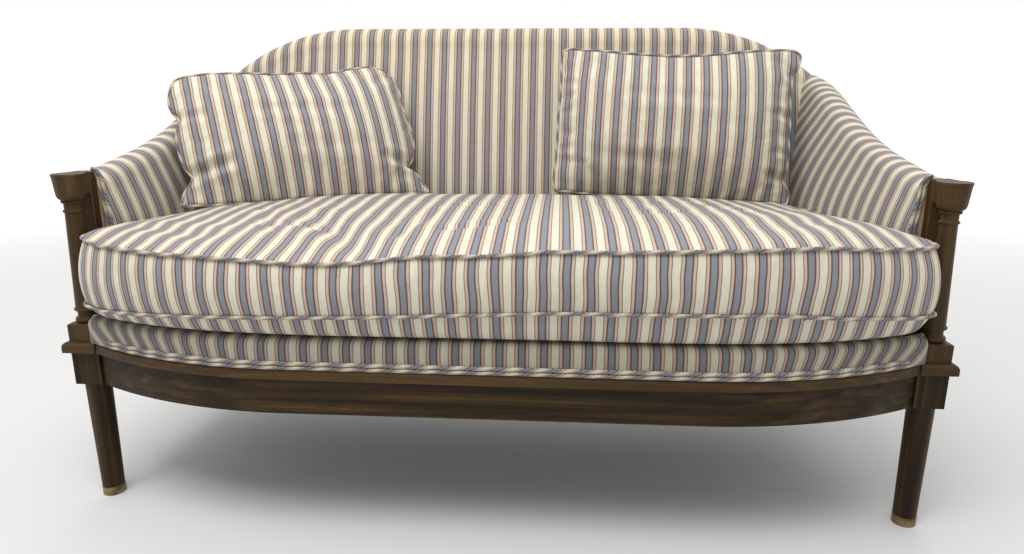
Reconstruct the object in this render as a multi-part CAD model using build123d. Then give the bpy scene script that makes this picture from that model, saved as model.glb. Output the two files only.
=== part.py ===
from build123d import *
import os
from math import cos, radians, sqrt, tan

# A two-seat settee with turned front columns, a bowed and moulded seat rail, an arched back,
# swooping padded arms, one loose seat cushion and two loose pillows.
# Millimetres. +Z is up, the front faces -Y, and the origin is on the floor under the middle.

# Front posts: leg with its block, moulding, plinth, column and capital
POST_SPAN = 1450.0
COLUMN_Y = -257.0
POST_W = 50.0
LEG_H = 227.0
LEG_TOP_DIA = 43.5
LEG_FOOT_DIA = 38.0
FERRULE_PROUD = 0.5
FERRULE_H = 16.5
FERRULE_WALL = 1.2
FERRULE_FLOOR = 2.0
PLINTH_H = 31.0
PLINTH_EDGE = 2.5
COLUMN_H = 216.0
SHAFT_FOOT_DIA = 37.0
SHAFT_TOP_DIA = 26.0
BASE_OUT = 2.3
BASE_H = 10.4
BASE_HOLLOW = 2.2
RING_OUT = 2.4
RING_RISE = 21.6
NECK_RING_OUT = 2.5
NECK_RING_DROP = 21.0
NECK_STEP = 1.2
CAPITAL_H = 45.0
CAPITAL_R = 26.0
CAPITAL_NECK_R = 16.0
CAPITAL_CURVE_R = 20.5
CAPITAL_CURVE_H = 4.0
CAPITAL_BELL_R = 22.2
CAPITAL_BELL_H = 9.0
CAPITAL_LIP_H = 4.5
CAPITAL_LIP_OUT = 0.8
STILE_W = 34.0
STILE_T = 18.0
STILE_SETBACK = 30.0

# Seat frame
RAIL_H = 62.0
FRONT_RAIL_T = 40.0
RAIL_SETBACK = 4.4
BOW_OUT = 118.0
BOW_FLAT = 335.0
MOULD_H = 19.0
MOULD_OUT = 10.0
MOULD_SIDE_OUT = 9.5
MOULD_IN = 20.0
MOULD_ROUND = 9.0
SIDE_RAIL_OUT = 22.0
SIDE_TAPER = 45.0
CORNER_BLOCK_H = 46.0
CORNER_BLOCK_LEG = 105.0
SCREW_DIA = 6.0
SCREW_HEAD_DIA = 11.0
SCREW_HEAD_H = 3.0
SCREW_LENGTH = 90.0
SCREW_GAP = 24.0

# Arm and back frame
ARM_FRAME_T = 34.0
ARM_UPRIGHT_D = 40.0
ARM_RAIL_H = 45.0
ARM_FRONT_RISE = 9.0
ARM_FRONT_SLOPE = 0.05
ARM_EAR_SLOPE = 0.18
ARM_BEND = 0.62
EAR_RISE = 21.0
TACK_RAIL_RISE = 33.0
TACK_RAIL_H = 40.0
BACK_Y = 249.0
BACK_T = 35.0
BACK_H = 574.0
BACK_RAKE = 11.0
REAR_FOOT_BACK = 66.0
REAR_FOOT_D = 32.0
REAR_FOOT_W = 34.0
GLIDE_DIA = 22.0
GLIDE_H = 4.0
CREST_SHOULDER = 345.0
CREST_DROP = 115.0
CREST_RAIL_H = 90.0
BACK_UPRIGHT_X = 230.0
BACK_UPRIGHT_W = 50.0

# Upholstery fixed to the frame
PAD_TOP = 22.0
PAD_GAP = 2.0
LIP_H = 44.0
ARM_PAD = 13.0
ARM_CROWN = 8.0
ARM_FLARE = 61.0
ARM_LIP = 11.0
ARM_SHOULDER_IN = 4.0
ARM_SHOULDER_DROP = 35.0
ARM_RIDGE_IN = 3.0
ARM_TUCK_DROP = 26.5
BACK_PAD = 50.0
BACK_CROWN = 14.0
BACK_SHOULDER_IN = 11.0
BACK_LIP = 10.0
COVER_T = 5.0
EDGE_ROLL_H = 47.0
EDGE_ROLL_OUT = 6.0
EDGE_ROLL_IN = 45.0
EDGE_ROLL_END_ROUND = 17.0
EDGE_ROLL_TOP_ROUND = 15.3
EDGE_ROLL_GAP = 3.0
DECK_SINK = 3.0
DECK_SIDE_GAP = 20.0
STRAP_W = 50.0
STRAP_T = 2.0
CROSS_STRAPS = 9
CROSS_STRAP_MARGIN = 78.0
LONG_STRAPS = 4
LONG_STRAP_MARGIN = 26.5
DUST_COVER_T = 1.0
DUST_COVER_INSET = 8.0

# Loose seat cushion; its slices are at shares of its half width
CUSHION_OUT = 17.0
CUSHION_EDGE = 97.0
CUSHION_CROWN = 44.0
CUSHION_CROWN_END_DROP = 26.0
CUSHION_BELLY = 44.0
CUSHION_BELLY_END_DROP = 6.5
CUSHION_BULGE = 8.0
CUSHION_REAR_BULGE = 2.0
CUSHION_REAR_CORNER = 70.0
CUSHION_NOSE_IN = 24.0
CUSHION_GAP = 6.0
CUSHION_BACK_GAP = 1.0
CUSHION_REST = 1.0
CUSHION_SLICES = (-1.0, -0.78, -0.45, 0.0, 0.45, 0.78, 1.0)

# Loose pillows: size, and how each one leans; each lean is added to the back's rake
PILLOW_W = 500.0
PILLOW_H = 305.0
PILLOW_T = 108.0
PILLOW_DRAW = 11.0
PILLOW_EDGE = 5.0
PILLOW_FLAT = 0.28
PILLOW_SLICES = (0.0, 0.24, 0.6, 1.0)
LEFT_PILLOW_IN = 52.0
LEFT_PILLOW_OUT = 93.0
LEFT_PILLOW_TURN = 25.0
LEFT_PILLOW_LEAN = 19.0
LEFT_PILLOW_TILT = 2.0
RIGHT_PILLOW_IN = 121.5
RIGHT_PILLOW_OUT = 17.0
RIGHT_PILLOW_TURN = -4.0
RIGHT_PILLOW_LEAN = 1.0
RIGHT_PILLOW_TILT = -1.5
LOOSE_GAP = 1.0
LOOSE_STEP = 2.0

# Worked out from the sizes above: heights
Z_RAIL = LEG_H
Z_MOULD = Z_RAIL + RAIL_H
Z_SEAT = Z_MOULD + MOULD_H
Z_COLUMN = Z_SEAT + PLINTH_H
Z_CAPITAL = Z_COLUMN + COLUMN_H
Z_POST_TOP = Z_CAPITAL + CAPITAL_H
Z_WEB = Z_MOULD + 2 * STRAP_T
Z_ROLL = Z_SEAT + EDGE_ROLL_H
Z_DECK = Z_ROLL - DECK_SINK
Z_PAD = Z_DECK + PAD_GAP
Z_TACK = Z_DECK + TACK_RAIL_RISE
Z_CUSHION = Z_ROLL + CUSHION_REST
Z_WELT = Z_CUSHION + CUSHION_BELLY + CUSHION_EDGE
Z_CREST = Z_SEAT + BACK_H
Z_ARM_FRONT = Z_POST_TOP + ARM_FRONT_RISE
Z_ARM_EAR = Z_CREST - CREST_DROP + EAR_RISE

# Worked out from the sizes above: plan
BASE_R = SHAFT_FOOT_DIA / 2 + BASE_OUT
FERRULE_R = LEG_FOOT_DIA / 2 + FERRULE_PROUD
POST_X = POST_SPAN / 2
POST_INNER = POST_X - POST_W / 2
POST_OUTER = POST_X + POST_W / 2
POST_FACE_Y = COLUMN_Y - POST_W / 2
STILE_FACE_Y = COLUMN_Y + STILE_SETBACK
POST_REAR_Y = STILE_FACE_Y + STILE_T
POST_CLEAR_Y = min(POST_FACE_Y, COLUMN_Y - CAPITAL_R) - CUSHION_GAP
RAIL_FACE_Y = COLUMN_Y - BOW_OUT
ARM_HALF = ARM_FRAME_T / 2
SIDE_SLOPE = SIDE_TAPER / (BACK_Y - COLUMN_Y)
RAKE_SLOPE = tan(radians(BACK_RAKE))
EAR_Y = BACK_Y + (Z_ARM_EAR - Z_SEAT) * RAKE_SLOPE
EAR_HALF = POST_X - SIDE_SLOPE * (EAR_Y - COLUMN_Y) + ARM_HALF + PAD_GAP
ARM_END_Y = EAR_Y + BACK_T
CUSHION_HALF = POST_X - CUSHION_NOSE_IN
REACH = 2 * POST_SPAN


def radius_of(run, drop):
    """Radius of an arc that leaves a straight and falls by drop over a length of run."""
    return (run**2 + drop**2) / (2 * drop)


BOW_RADIUS = radius_of(POST_INNER - BOW_FLAT, POST_FACE_Y + RAIL_SETBACK - RAIL_FACE_Y)
CREST_FLAT = POST_X - CREST_SHOULDER
CREST_RADIUS = radius_of(EAR_HALF - CREST_FLAT, CREST_DROP)

nodes = {}


def mirrored(part):
    return mirror(part, about=Plane.YZ)


def add_pair(name, right):
    nodes[name + "_right"] = right
    nodes[name + "_left"] = mirrored(right)


def block(x0, x1, y0, y1, z0, z1):
    size = Box(x1 - x0, y1 - y0, z1 - z0)
    return Pos((x0 + x1) / 2, (y0 + y1) / 2, (z0 + z1) / 2) * size


def plan_solid(points, z0, z1):
    """A flat outline seen from above, given its height."""
    face = make_face(Polyline(*points, close=True))
    return extrude(Pos(0, 0, z0) * face, amount=z1 - z0, dir=(0, 0, 1))


def side_solid(points, x0, x1):
    """A flat outline of (y, z) points seen from the side, given its width."""
    face = make_face(Polyline(*[(x0, y, z) for y, z in points], close=True))
    return extrude(face, amount=x1 - x0, dir=(1, 0, 0))


# Lines that several pieces share


def bow_y(x, out=0.0):
    """The bowed front of the seat, moved out square to the rail's face."""
    run = max(abs(x) - BOW_FLAT, 0.0)
    radius = BOW_RADIUS + out
    return RAIL_FACE_Y - out + radius - sqrt(radius**2 - run**2)


def bow_edges(out, half):
    """The bowed line from left to right: an arc, a straight and an arc."""
    middle = (BOW_FLAT + half) / 2
    ends = [(x, bow_y(x, out)) for x in (-half, -middle, -BOW_FLAT, BOW_FLAT, middle, half)]
    left = ThreePointArc(ends[0], ends[1], ends[2])
    right = ThreePointArc(ends[3], ends[4], ends[5])
    return [left, Line(ends[2], ends[3]), right]


def bow_strip(out, inner, half, z0, z1):
    """A strip along the bowed front, between two distances from the rail's face."""
    ends = [Line((x, bow_y(x, out)), (x, bow_y(x, inner))) for x in (-half, half)]
    face = make_face(bow_edges(out, half) + bow_edges(inner, half) + ends)
    return extrude(Pos(0, 0, z0) * face, amount=z1 - z0, dir=(0, 0, 1))


def bow_area(out, half, rear, z0, z1):
    """Everything behind the bowed line, back to a straight rear edge."""
    left = (-half, bow_y(half, out))
    right = (half, bow_y(half, out))
    sides = Polyline(left, (-half, rear), (half, rear), right)
    face = make_face(bow_edges(out, half) + [sides])
    return extrude(Pos(0, 0, z0) * face, amount=z1 - z0, dir=(0, 0, 1))


def side_x(y):
    """Middle of the arm frame at y: it comes inwards from the post to the back."""
    return POST_X - SIDE_SLOPE * (y - COLUMN_Y)


def side_layer(inner, outer, y0, y1, z0, z1):
    """A board along the right side, between two distances from the arm frame's middle."""
    line = [(side_x(y0) + inner, y0), (side_x(y0) + outer, y0)]
    line += [(side_x(y1) + outer, y1), (side_x(y1) + inner, y1)]
    return plan_solid(line, z0, z1)


def between_sides(outer, y0, y1, z0, z1):
    """A layer right across the settee, up to a distance from each arm frame's middle."""
    half = side_layer(-REACH, outer, y0, y1, z0, z1)
    return half & mirrored(half)


def back_y(z):
    """Front face of the back frame: upright beside the seat frame, raked above it."""
    return BACK_Y + max(z - Z_SEAT, 0.0) * RAKE_SLOPE


def back_layer(front, rear, z0, z1):
    """A board that follows the back frame, as wide as the settee."""
    heights = sorted({z0, min(max(Z_SEAT, z0), z1), z1})
    line = [(back_y(z) + front, z) for z in heights]
    line += [(back_y(z) + rear, z) for z in reversed(heights)]
    return side_solid(line, -REACH / 2, REACH / 2)


def arm_top(y):
    """Height of the padded arm: nearly level at the post, then a long sweep up to the back."""
    front = POST_REAR_Y
    bend = front + ARM_BEND * (EAR_Y - front)
    rise = Z_ARM_EAR - Z_ARM_FRONT
    fall = 2 * rise - ARM_FRONT_SLOPE * (bend - front) - ARM_EAR_SLOPE * (EAR_Y - bend)
    steepest = fall / (EAR_Y - front)
    near = min(y, bend) - front
    height = Z_ARM_FRONT + ARM_FRONT_SLOPE * near
    height += (steepest - ARM_FRONT_SLOPE) / (bend - front) * near**2 / 2
    far = max(y - bend, 0.0)
    height += steepest * far
    return height - (steepest - ARM_EAR_SLOPE) / (EAR_Y - bend) * far**2 / 2


def arm_profile(drop_top, z0, y0, y1):
    """The arm seen from the side: a sweeping top edge over a straight lower edge."""
    steps = 7
    stations = [y0 + (y1 - y0) * i / steps for i in range(steps + 1)]
    top = Spline(*[(0, y, arm_top(y) - drop_top) for y in stations])
    sides = Polyline(top @ 0, (0, y0, z0), (0, y1, z0), top @ 1)
    return extrude(make_face([top, sides]), amount=REACH / 2, dir=(1, 0, 0))


def crest_edges(drop, half):
    """The arched top of the back from left to right, lowered square to itself."""
    radius = CREST_RADIUS - drop

    def at(x):
        run = max(abs(x) - CREST_FLAT, 0.0)
        return (x, 0, Z_CREST - drop - radius + sqrt(radius**2 - run**2))

    middle = (CREST_FLAT + half) / 2
    ends = [at(x) for x in (-half, -middle, -CREST_FLAT, CREST_FLAT, middle, half)]
    left = ThreePointArc(ends[0], ends[1], ends[2])
    right = ThreePointArc(ends[3], ends[4], ends[5])
    return [left, Line(ends[2], ends[3]), right], ends[0], ends[-1]


def crest_solid(drop, half, z0):
    """Everything under the lowered crest line, through the whole depth."""
    edges, left, right = crest_edges(drop, half)
    sides = Polyline(left, (-half, 0, z0), (half, 0, z0), right)
    face = make_face(edges + [sides])
    return Pos(0, -REACH / 2, 0) * extrude(face, amount=REACH, dir=(0, 1, 0))


# Front legs, ferrules, columns, capitals and stiles


def turned(profile):
    """A turned piece: (radius, height) points from bottom to top, spun about the post's axis."""
    line = [(0, profile[0][1])] + profile + [(0, profile[-1][1])]
    face = make_face(Polyline(*[(r, 0, z) for r, z in line], close=True))
    return Pos(POST_X, COLUMN_Y, 0) * revolve(face, Axis.Z)


def bead(radius, z0, z1):
    """A half-round ring on a turned piece."""
    middle = (z0 + z1) / 2
    section = ThreePointArc((radius, 0, z0), (radius + (z1 - z0) / 2, 0, middle), (radius, 0, z1))
    body = Polyline((radius, 0, z1), (0, 0, z1), (0, 0, z0), (radius, 0, z0))
    return Pos(POST_X, COLUMN_Y, 0) * revolve(make_face([section, body]), Axis.Z)


def front_leg():
    foot = FERRULE_R - FERRULE_WALL
    shank = [(foot, FERRULE_FLOOR), (foot, FERRULE_H), (LEG_FOOT_DIA / 2, FERRULE_H)]
    shank += [(LEG_TOP_DIA / 2, Z_RAIL)]
    square = block(POST_INNER, POST_OUTER, POST_FACE_Y, POST_REAR_Y, Z_RAIL, Z_MOULD)
    return turned(shank) + square


def ferrule():
    bore = FERRULE_R - FERRULE_WALL
    cup = turned([(FERRULE_R, 0), (FERRULE_R, FERRULE_H)])
    inside = turned([(bore, FERRULE_FLOOR), (bore, FERRULE_H)])
    return cup - inside


def corner_moulding():
    outer = POST_OUTER + MOULD_SIDE_OUT
    piece = block(POST_INNER, outer, POST_FACE_Y - MOULD_OUT, POST_REAR_Y, Z_MOULD, Z_SEAT)
    top = piece.edges().filter_by_position(Axis.Z, Z_SEAT, Z_SEAT)
    return fillet([top.sort_by(Axis.X)[-1], top.sort_by(Axis.Y)[0]], MOULD_ROUND)


def column():
    """Square plinth, base torus, hollow, ring, tapered shaft and two neck rings, in one turning."""
    foot = SHAFT_FOOT_DIA / 2
    neck = SHAFT_TOP_DIA / 2
    ring_z = Z_COLUMN + RING_RISE
    neck_z = Z_CAPITAL - NECK_RING_DROP
    neck_h = 2 * NECK_RING_OUT
    plinth = block(POST_INNER, POST_OUTER, POST_FACE_Y, STILE_FACE_Y, Z_SEAT, Z_COLUMN)
    rim = plinth.edges().filter_by_position(Axis.Z, Z_COLUMN, Z_COLUMN)
    piece = fillet(rim, PLINTH_EDGE)
    piece += bead(BASE_R - BASE_H / 2, Z_COLUMN, Z_COLUMN + BASE_H)
    piece += turned([(foot - BASE_HOLLOW, Z_COLUMN), (foot - BASE_HOLLOW, ring_z)])
    piece += bead(foot, ring_z, ring_z + 2 * RING_OUT)
    piece += turned([(foot, ring_z), (neck, neck_z), (neck, Z_CAPITAL)])
    piece += bead(neck, neck_z, neck_z + neck_h)
    piece += bead(neck + NECK_STEP, Z_CAPITAL - neck_h, Z_CAPITAL)
    return piece


def capital():
    """A round drum on a short curve, with a thin lip, and a square back that runs to the stile."""
    lip_z = Z_POST_TOP - CAPITAL_LIP_H
    drum_z = Z_CAPITAL + CAPITAL_BELL_H
    half = STILE_W / 2
    profile = [(CAPITAL_NECK_R, Z_CAPITAL), (CAPITAL_CURVE_R, Z_CAPITAL + CAPITAL_CURVE_H)]
    profile += [(CAPITAL_BELL_R, drum_z), (CAPITAL_R - CAPITAL_LIP_OUT, lip_z)]
    profile += [(CAPITAL_R, lip_z), (CAPITAL_R, Z_POST_TOP)]
    back = block(POST_X - half, POST_X + half, COLUMN_Y, STILE_FACE_Y, drum_z, Z_POST_TOP)
    return turned(profile) + back


def arm_stile():
    half = STILE_W / 2
    return block(POST_X - half, POST_X + half, STILE_FACE_Y, POST_REAR_Y, Z_SEAT, Z_POST_TOP)


# Seat frame


def front_moulding():
    strip = bow_strip(MOULD_OUT, -MOULD_IN, POST_INNER, Z_MOULD, Z_SEAT)
    top = strip.edges().filter_by_position(Axis.Z, Z_SEAT, Z_SEAT)
    nose = [e for e in top if abs(e.center().Y - bow_y(e.center().X, MOULD_OUT)) < MOULD_OUT]
    return fillet(nose, MOULD_ROUND)


def side_moulding():
    outer = SIDE_RAIL_OUT + MOULD_SIDE_OUT
    strip = side_layer(ARM_HALF, outer, POST_REAR_Y, BACK_Y + BACK_T, Z_MOULD, Z_SEAT)
    top = strip.edges().filter_by_position(Axis.Z, Z_SEAT, Z_SEAT)
    return fillet(top.filter_by(lambda e: e.length > POST_W).sort_by(Axis.X)[-1], MOULD_ROUND)


def rear_post():
    """Raked rear leg and back post in one piece; the leg is wider, to take the side rail."""
    foot = BACK_Y + REAR_FOOT_BACK
    leg_x = side_x(BACK_Y)
    inner = leg_x - ARM_HALF
    wide = ARM_HALF + SIDE_RAIL_OUT
    low = (foot, inner + (wide - REAR_FOOT_W) / 2, GLIDE_H, REAR_FOOT_W, REAR_FOOT_D)
    high = (BACK_Y, inner, Z_RAIL, wide, BACK_T)
    ends = []
    for y, x, z, w, d in (low, high):
        ends.append(Pos(x + w / 2, y + d / 2, z) * Rectangle(w, d))
    leg = loft(ends) + block(inner, inner + wide, BACK_Y, BACK_Y + BACK_T, Z_RAIL, Z_MOULD)
    board = side_layer(-ARM_HALF, ARM_HALF, BACK_Y, REACH, Z_MOULD, Z_CREST)
    post = board & back_layer(0, BACK_T, Z_MOULD, Z_CREST) & crest_solid(PAD_TOP, POST_X, 0)
    return leg + post


def rear_glide():
    leg_x = side_x(BACK_Y) + (SIDE_RAIL_OUT - ARM_HALF) / 2
    foot_y = BACK_Y + REAR_FOOT_BACK + REAR_FOOT_D / 2
    return Pos(leg_x, foot_y, GLIDE_H / 2) * Cylinder(GLIDE_DIA / 2, GLIDE_H)


def corner_brace(points, taken):
    """A brace across a corner of the seat frame, cut to the rails and the leg that it fits."""
    low = Z_RAIL + (RAIL_H - CORNER_BLOCK_H) / 2
    piece = plan_solid(points, low, low + CORNER_BLOCK_H)
    for other in taken:
        piece -= other
    return piece.solids().sort_by(SortBy.VOLUME)[-1]


def brace_screws(start, end):
    """Two screws, one above the other, square to the brace's long face and into the leg."""
    run = (Vector(*end) - Vector(*start)).normalized()
    inwards = Vector(-run.Y, run.X)
    middle = (Vector(*start) + Vector(*end)) * 0.5
    screws = []
    for side in (-1, 1):
        z = Z_RAIL + RAIL_H / 2 + side * SCREW_GAP / 2
        seat = Plane(origin=(middle.X, middle.Y, z), z_dir=(-inwards.X, -inwards.Y, 0))
        shank = seat * (Pos(0, 0, SCREW_LENGTH / 2) * Cylinder(SCREW_DIA / 2, SCREW_LENGTH))
        head = seat * (Pos(0, 0, -SCREW_HEAD_H / 2) * Cylinder(SCREW_HEAD_DIA / 2, SCREW_HEAD_H))
        screws.append(shank + head)
    return screws


# Upholstery


def arm_section(y):
    """One slice through the padded right arm: crowned inside face, rolled top and outer lip."""
    middle = side_x(y)
    top = arm_top(y)
    run = (y - POST_REAR_Y) / (EAR_Y - POST_REAR_Y)
    inner = middle - ARM_HALF - ARM_PAD
    outer = middle + ARM_HALF + ARM_LIP
    foot = (inner - ARM_FLARE * run**2, y, Z_PAD)
    shoulder = (inner + ARM_SHOULDER_IN, y, top - ARM_SHOULDER_DROP)
    ridge = (middle - ARM_RIDGE_IN, y, top)
    tuck = (outer, y, top - ARM_TUCK_DROP)
    waist = ((foot[0] + shoulder[0]) / 2 - ARM_CROWN, y, (foot[2] + shoulder[2]) / 2)
    inside = ThreePointArc(foot, waist, shoulder)
    roll = ThreePointArc(shoulder, ridge, tuck)
    hem = top - LIP_H
    rest = Polyline(tuck, (outer, y, hem), (middle, y, hem), (middle, y, Z_PAD), foot)
    return make_face([inside, roll, rest])


def inside_arm(core, taken):
    steps = 6
    length = ARM_END_Y - POST_REAR_Y
    stations = [POST_REAR_Y + length * i / steps for i in range(steps + 1)]
    piece = loft([arm_section(y) for y in stations])
    piece -= core
    for other in taken:
        piece -= other
    return piece.solids().sort_by(SortBy.VOLUME)[-1]


def back_section(x):
    """One slice through the padded back: crowned front, rolled crest and a lip behind."""
    run = max(abs(x) - CREST_FLAT, 0.0)
    top = Z_CREST - CREST_RADIUS + sqrt(CREST_RADIUS**2 - run**2)
    low = (x, back_y(Z_PAD) - BACK_PAD, Z_PAD)
    shoulder_z = top - LIP_H
    shoulder = (x, back_y(shoulder_z) - BACK_PAD + BACK_SHOULDER_IN, shoulder_z)
    waist_z = (Z_PAD + shoulder_z) / 2
    waist = (x, (low[1] + shoulder[1]) / 2 - BACK_CROWN, waist_z)
    rear = back_y(shoulder_z) + BACK_T + BACK_LIP
    ridge = (x, (shoulder[1] + rear) / 2, top)
    front = ThreePointArc(low, waist, shoulder)
    roll = ThreePointArc(shoulder, ridge, (x, rear, shoulder_z))
    high_core = (x, back_y(shoulder_z) + BACK_T / 2, shoulder_z)
    low_core = (x, back_y(Z_PAD) + BACK_T / 2, Z_PAD)
    rest = Polyline((x, rear, shoulder_z), high_core, low_core, low)
    return make_face([front, roll, rest])


def inside_back(taken):
    steps = 3
    shoulders = [CREST_FLAT + (EAR_HALF - CREST_FLAT) * i / steps for i in range(steps + 1)]
    stations = [-x for x in reversed(shoulders)] + [0] + shoulders
    piece = loft([back_section(x) for x in stations])
    piece -= crest_solid(PAD_TOP, POST_X, 0) & back_layer(0, BACK_T, Z_MOULD, Z_CREST)
    for other in taken:
        piece -= other
    return piece.solids().sort_by(SortBy.VOLUME)[-1]


def edge_roll():
    """Padded border along the bowed front, between the moulding and the cushion."""
    half = POST_INNER - EDGE_ROLL_GAP
    strip = bow_strip(EDGE_ROLL_OUT, -EDGE_ROLL_IN, half, Z_SEAT, Z_ROLL)
    uprights = strip.edges().filter_by(Axis.Z)
    ends = uprights.filter_by(lambda e: abs(e.center().X) > half - EDGE_ROLL_GAP)
    strip = fillet(ends.sort_by(Axis.Y)[:2], EDGE_ROLL_END_ROUND)
    top = strip.edges().filter_by_position(Axis.Z, Z_ROLL, Z_ROLL)
    limit = (EDGE_ROLL_OUT - EDGE_ROLL_IN) / 2
    nose = [e for e in top if e.center().Y < bow_y(e.center().X, limit)]
    return fillet(nose, EDGE_ROLL_TOP_ROUND)


def seat_deck():
    rear = BACK_Y - PAD_GAP
    area = between_sides(-ARM_HALF - DECK_SIDE_GAP, RAIL_FACE_Y, rear, Z_WEB, Z_DECK)
    return area & bow_area(-EDGE_ROLL_IN, POST_INNER - PAD_GAP, rear, Z_WEB, Z_DECK)


def cross_straps():
    """Straps from the front rail to the back rail, spread evenly between the sides."""
    rear = BACK_Y + BACK_T / 2
    first = side_x(BACK_Y) - ARM_HALF - CROSS_STRAP_MARGIN - STRAP_W / 2
    straps = []
    for i in range(CROSS_STRAPS):
        x = first * (2 * i / (CROSS_STRAPS - 1) - 1)
        sides = (x - STRAP_W / 2, x + STRAP_W / 2)
        near = max(bow_y(side, -MOULD_IN) for side in sides) + PAD_GAP
        straps.append(block(*sides, near, rear, Z_MOULD, Z_MOULD + STRAP_T))
    return straps


def long_straps():
    """Straps along the seat; each end is folded double where it is tacked to the side rail."""
    first = POST_REAR_Y + ARM_UPRIGHT_D + LONG_STRAP_MARGIN
    last = BACK_Y - LONG_STRAP_MARGIN - STRAP_W
    straps = []
    for i in range(LONG_STRAPS):
        near = first + (last - first) * i / (LONG_STRAPS - 1)
        far = near + STRAP_W
        strap = between_sides(0, near, far, Z_MOULD + STRAP_T, Z_WEB)
        fold = side_layer(-ARM_HALF, 0, near, far, Z_MOULD, Z_MOULD + STRAP_T)
        straps.append(strap + fold + mirrored(fold))
    return straps


def dust_cover(taken):
    low = Z_RAIL - DUST_COVER_T
    edge = SIDE_RAIL_OUT - DUST_COVER_INSET
    rear = BACK_Y + BACK_T - DUST_COVER_INSET
    area = between_sides(edge, RAIL_FACE_Y, rear, low, Z_RAIL)
    piece = area & bow_area(-DUST_COVER_INSET, POST_X, rear, low, Z_RAIL)
    for other in taken:
        piece -= other
    return piece.solids().sort_by(SortBy.VOLUME)[-1]


# Loose pieces


def cushion_section(x):
    """One slice from front to back: bulging edges between the welts, crown above, belly below."""
    fall = (x / CUSHION_HALF) ** 2
    crown = CUSHION_CROWN - CUSHION_CROWN_END_DROP * fall
    belly = CUSHION_BELLY - CUSHION_BELLY_END_DROP * fall
    z_low = Z_WELT - CUSHION_EDGE
    z_rest = z_low - belly
    front = bow_y(min(abs(x), POST_INNER), CUSHION_OUT)
    rear = cushion_rear()
    middle_y = (front + rear) / 2
    middle_z = (z_low + Z_WELT) / 2
    turn = belly * (1 - sqrt(0.5))
    low_front = (x, front, z_low)
    high_front = (x, front, Z_WELT)
    low_rear = (x, rear, z_low)
    high_rear = (x, rear, Z_WELT)
    rest_front = (x, front + belly, z_rest)
    rest_rear = (x, rear - belly, z_rest)
    edges = [ThreePointArc(low_front, (x, front - CUSHION_BULGE, middle_z), high_front)]
    edges += [ThreePointArc(high_front, (x, middle_y, Z_WELT + crown), high_rear)]
    edges += [ThreePointArc(high_rear, (x, rear + CUSHION_REAR_BULGE, middle_z), low_rear)]
    edges += [ThreePointArc(low_rear, (x, rear - turn, z_rest + turn), rest_rear)]
    edges += [Line(rest_rear, rest_front)]
    edges += [ThreePointArc(rest_front, (x, front + turn, z_rest + turn), low_front)]
    return make_face(edges)


def cushion_rear():
    return back_y(Z_CUSHION) - BACK_PAD - BACK_CROWN / 2 - CUSHION_BACK_GAP


def cushion_side(y):
    """Half width of the cushion at y, clear of the padded arm."""
    run = max(y - POST_REAR_Y, 0.0) / (EAR_Y - POST_REAR_Y)
    arm_face = side_x(y) - ARM_HALF - ARM_PAD - ARM_CROWN - ARM_FLARE * run**2
    return arm_face - CUSHION_GAP


def cushion_outline():
    """Plan of the cushion: bowed front, small noses in front of the posts, rounded rear corners."""
    rear = cushion_rear() + CUSHION_BULGE
    near, far = [(cushion_side(y), y) for y in (POST_FACE_Y, rear)]
    middle_y = (POST_FACE_Y + rear) / 2
    right = ThreePointArc(near, (cushion_side(middle_y), middle_y), far)
    ends = [Line((-near[0], near[1]), near), Line((-far[0], far[1]), far)]
    face = make_face([right, mirror(right, about=Plane.YZ)] + ends)
    body = extrude(face, amount=REACH / 2, dir=(0, 0, 1))
    corners = body.edges().filter_by(Axis.Z).sort_by(Axis.Y)[-2:]
    body = fillet(corners, CUSHION_REAR_CORNER)
    outer = CUSHION_OUT + CUSHION_BULGE + CUSHION_GAP
    front = bow_area(outer, CUSHION_HALF, POST_REAR_Y, 0, REACH / 2)
    nose = front & block(-REACH, REACH, -REACH, POST_CLEAR_Y, 0, REACH / 2)
    bridge = front & block(-near[0], near[0], -REACH, POST_FACE_Y, 0, REACH / 2)
    return body + nose + bridge


def seat_cushion():
    slices = [cushion_section(CUSHION_HALF * share) for share in CUSHION_SLICES]
    return loft(slices) & cushion_outline()


def pillow_ring(width, height, draw):
    """Pillow outline whose four sides are drawn in between the corners."""
    w = width / 2
    h = height / 2
    corners = [(-w, -h), (w, -h), (w, h), (-w, h)]
    middles = [(0, draw - h), (w - draw, 0), (0, h - draw), (draw - w, 0)]
    edges = []
    for i, middle in enumerate(middles):
        edges.append(ThreePointArc(corners[i], middle, corners[(i + 1) % len(corners)]))
    return make_face(edges)


def pillow():
    """A knife-edged pillow: full in the middle, thin at the sewn edge."""
    rings = []
    for share in PILLOW_SLICES:
        rise = (PILLOW_EDGE + (PILLOW_T - PILLOW_EDGE) * (1 - (1 - share) ** 2)) / 2
        inset = share * (1 - PILLOW_FLAT)
        narrow = inset * PILLOW_H
        ring = pillow_ring(PILLOW_W - narrow, PILLOW_H - narrow, PILLOW_DRAW * (1 - inset))
        rings.append(Pos(0, 0, rise) * ring)
    edge = extrude(pillow_ring(PILLOW_W, PILLOW_H, PILLOW_DRAW), amount=PILLOW_EDGE / 2)
    top = loft(rings) + edge
    return top + mirror(top, about=Plane.XY)


def leaning_pillow(side, inset, out, turn, lean, tilt):
    """Stands a pillow in front of the back: leaned, turned on the seat, tilted in its own plane."""
    angle = BACK_RAKE + lean
    x = side * (POST_X - inset - PILLOW_W / 2 * cos(radians(turn)))
    z = Z_WELT + CUSHION_CROWN + PILLOW_H / 2 * cos(radians(angle))
    y = back_y(z) - BACK_PAD - BACK_CROWN - PILLOW_T / 2 - out
    return Pos(x, y, z) * Rot(0, 0, turn) * Rot(90 - angle, 0, 0) * Rot(0, 0, tilt) * pillow()


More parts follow.
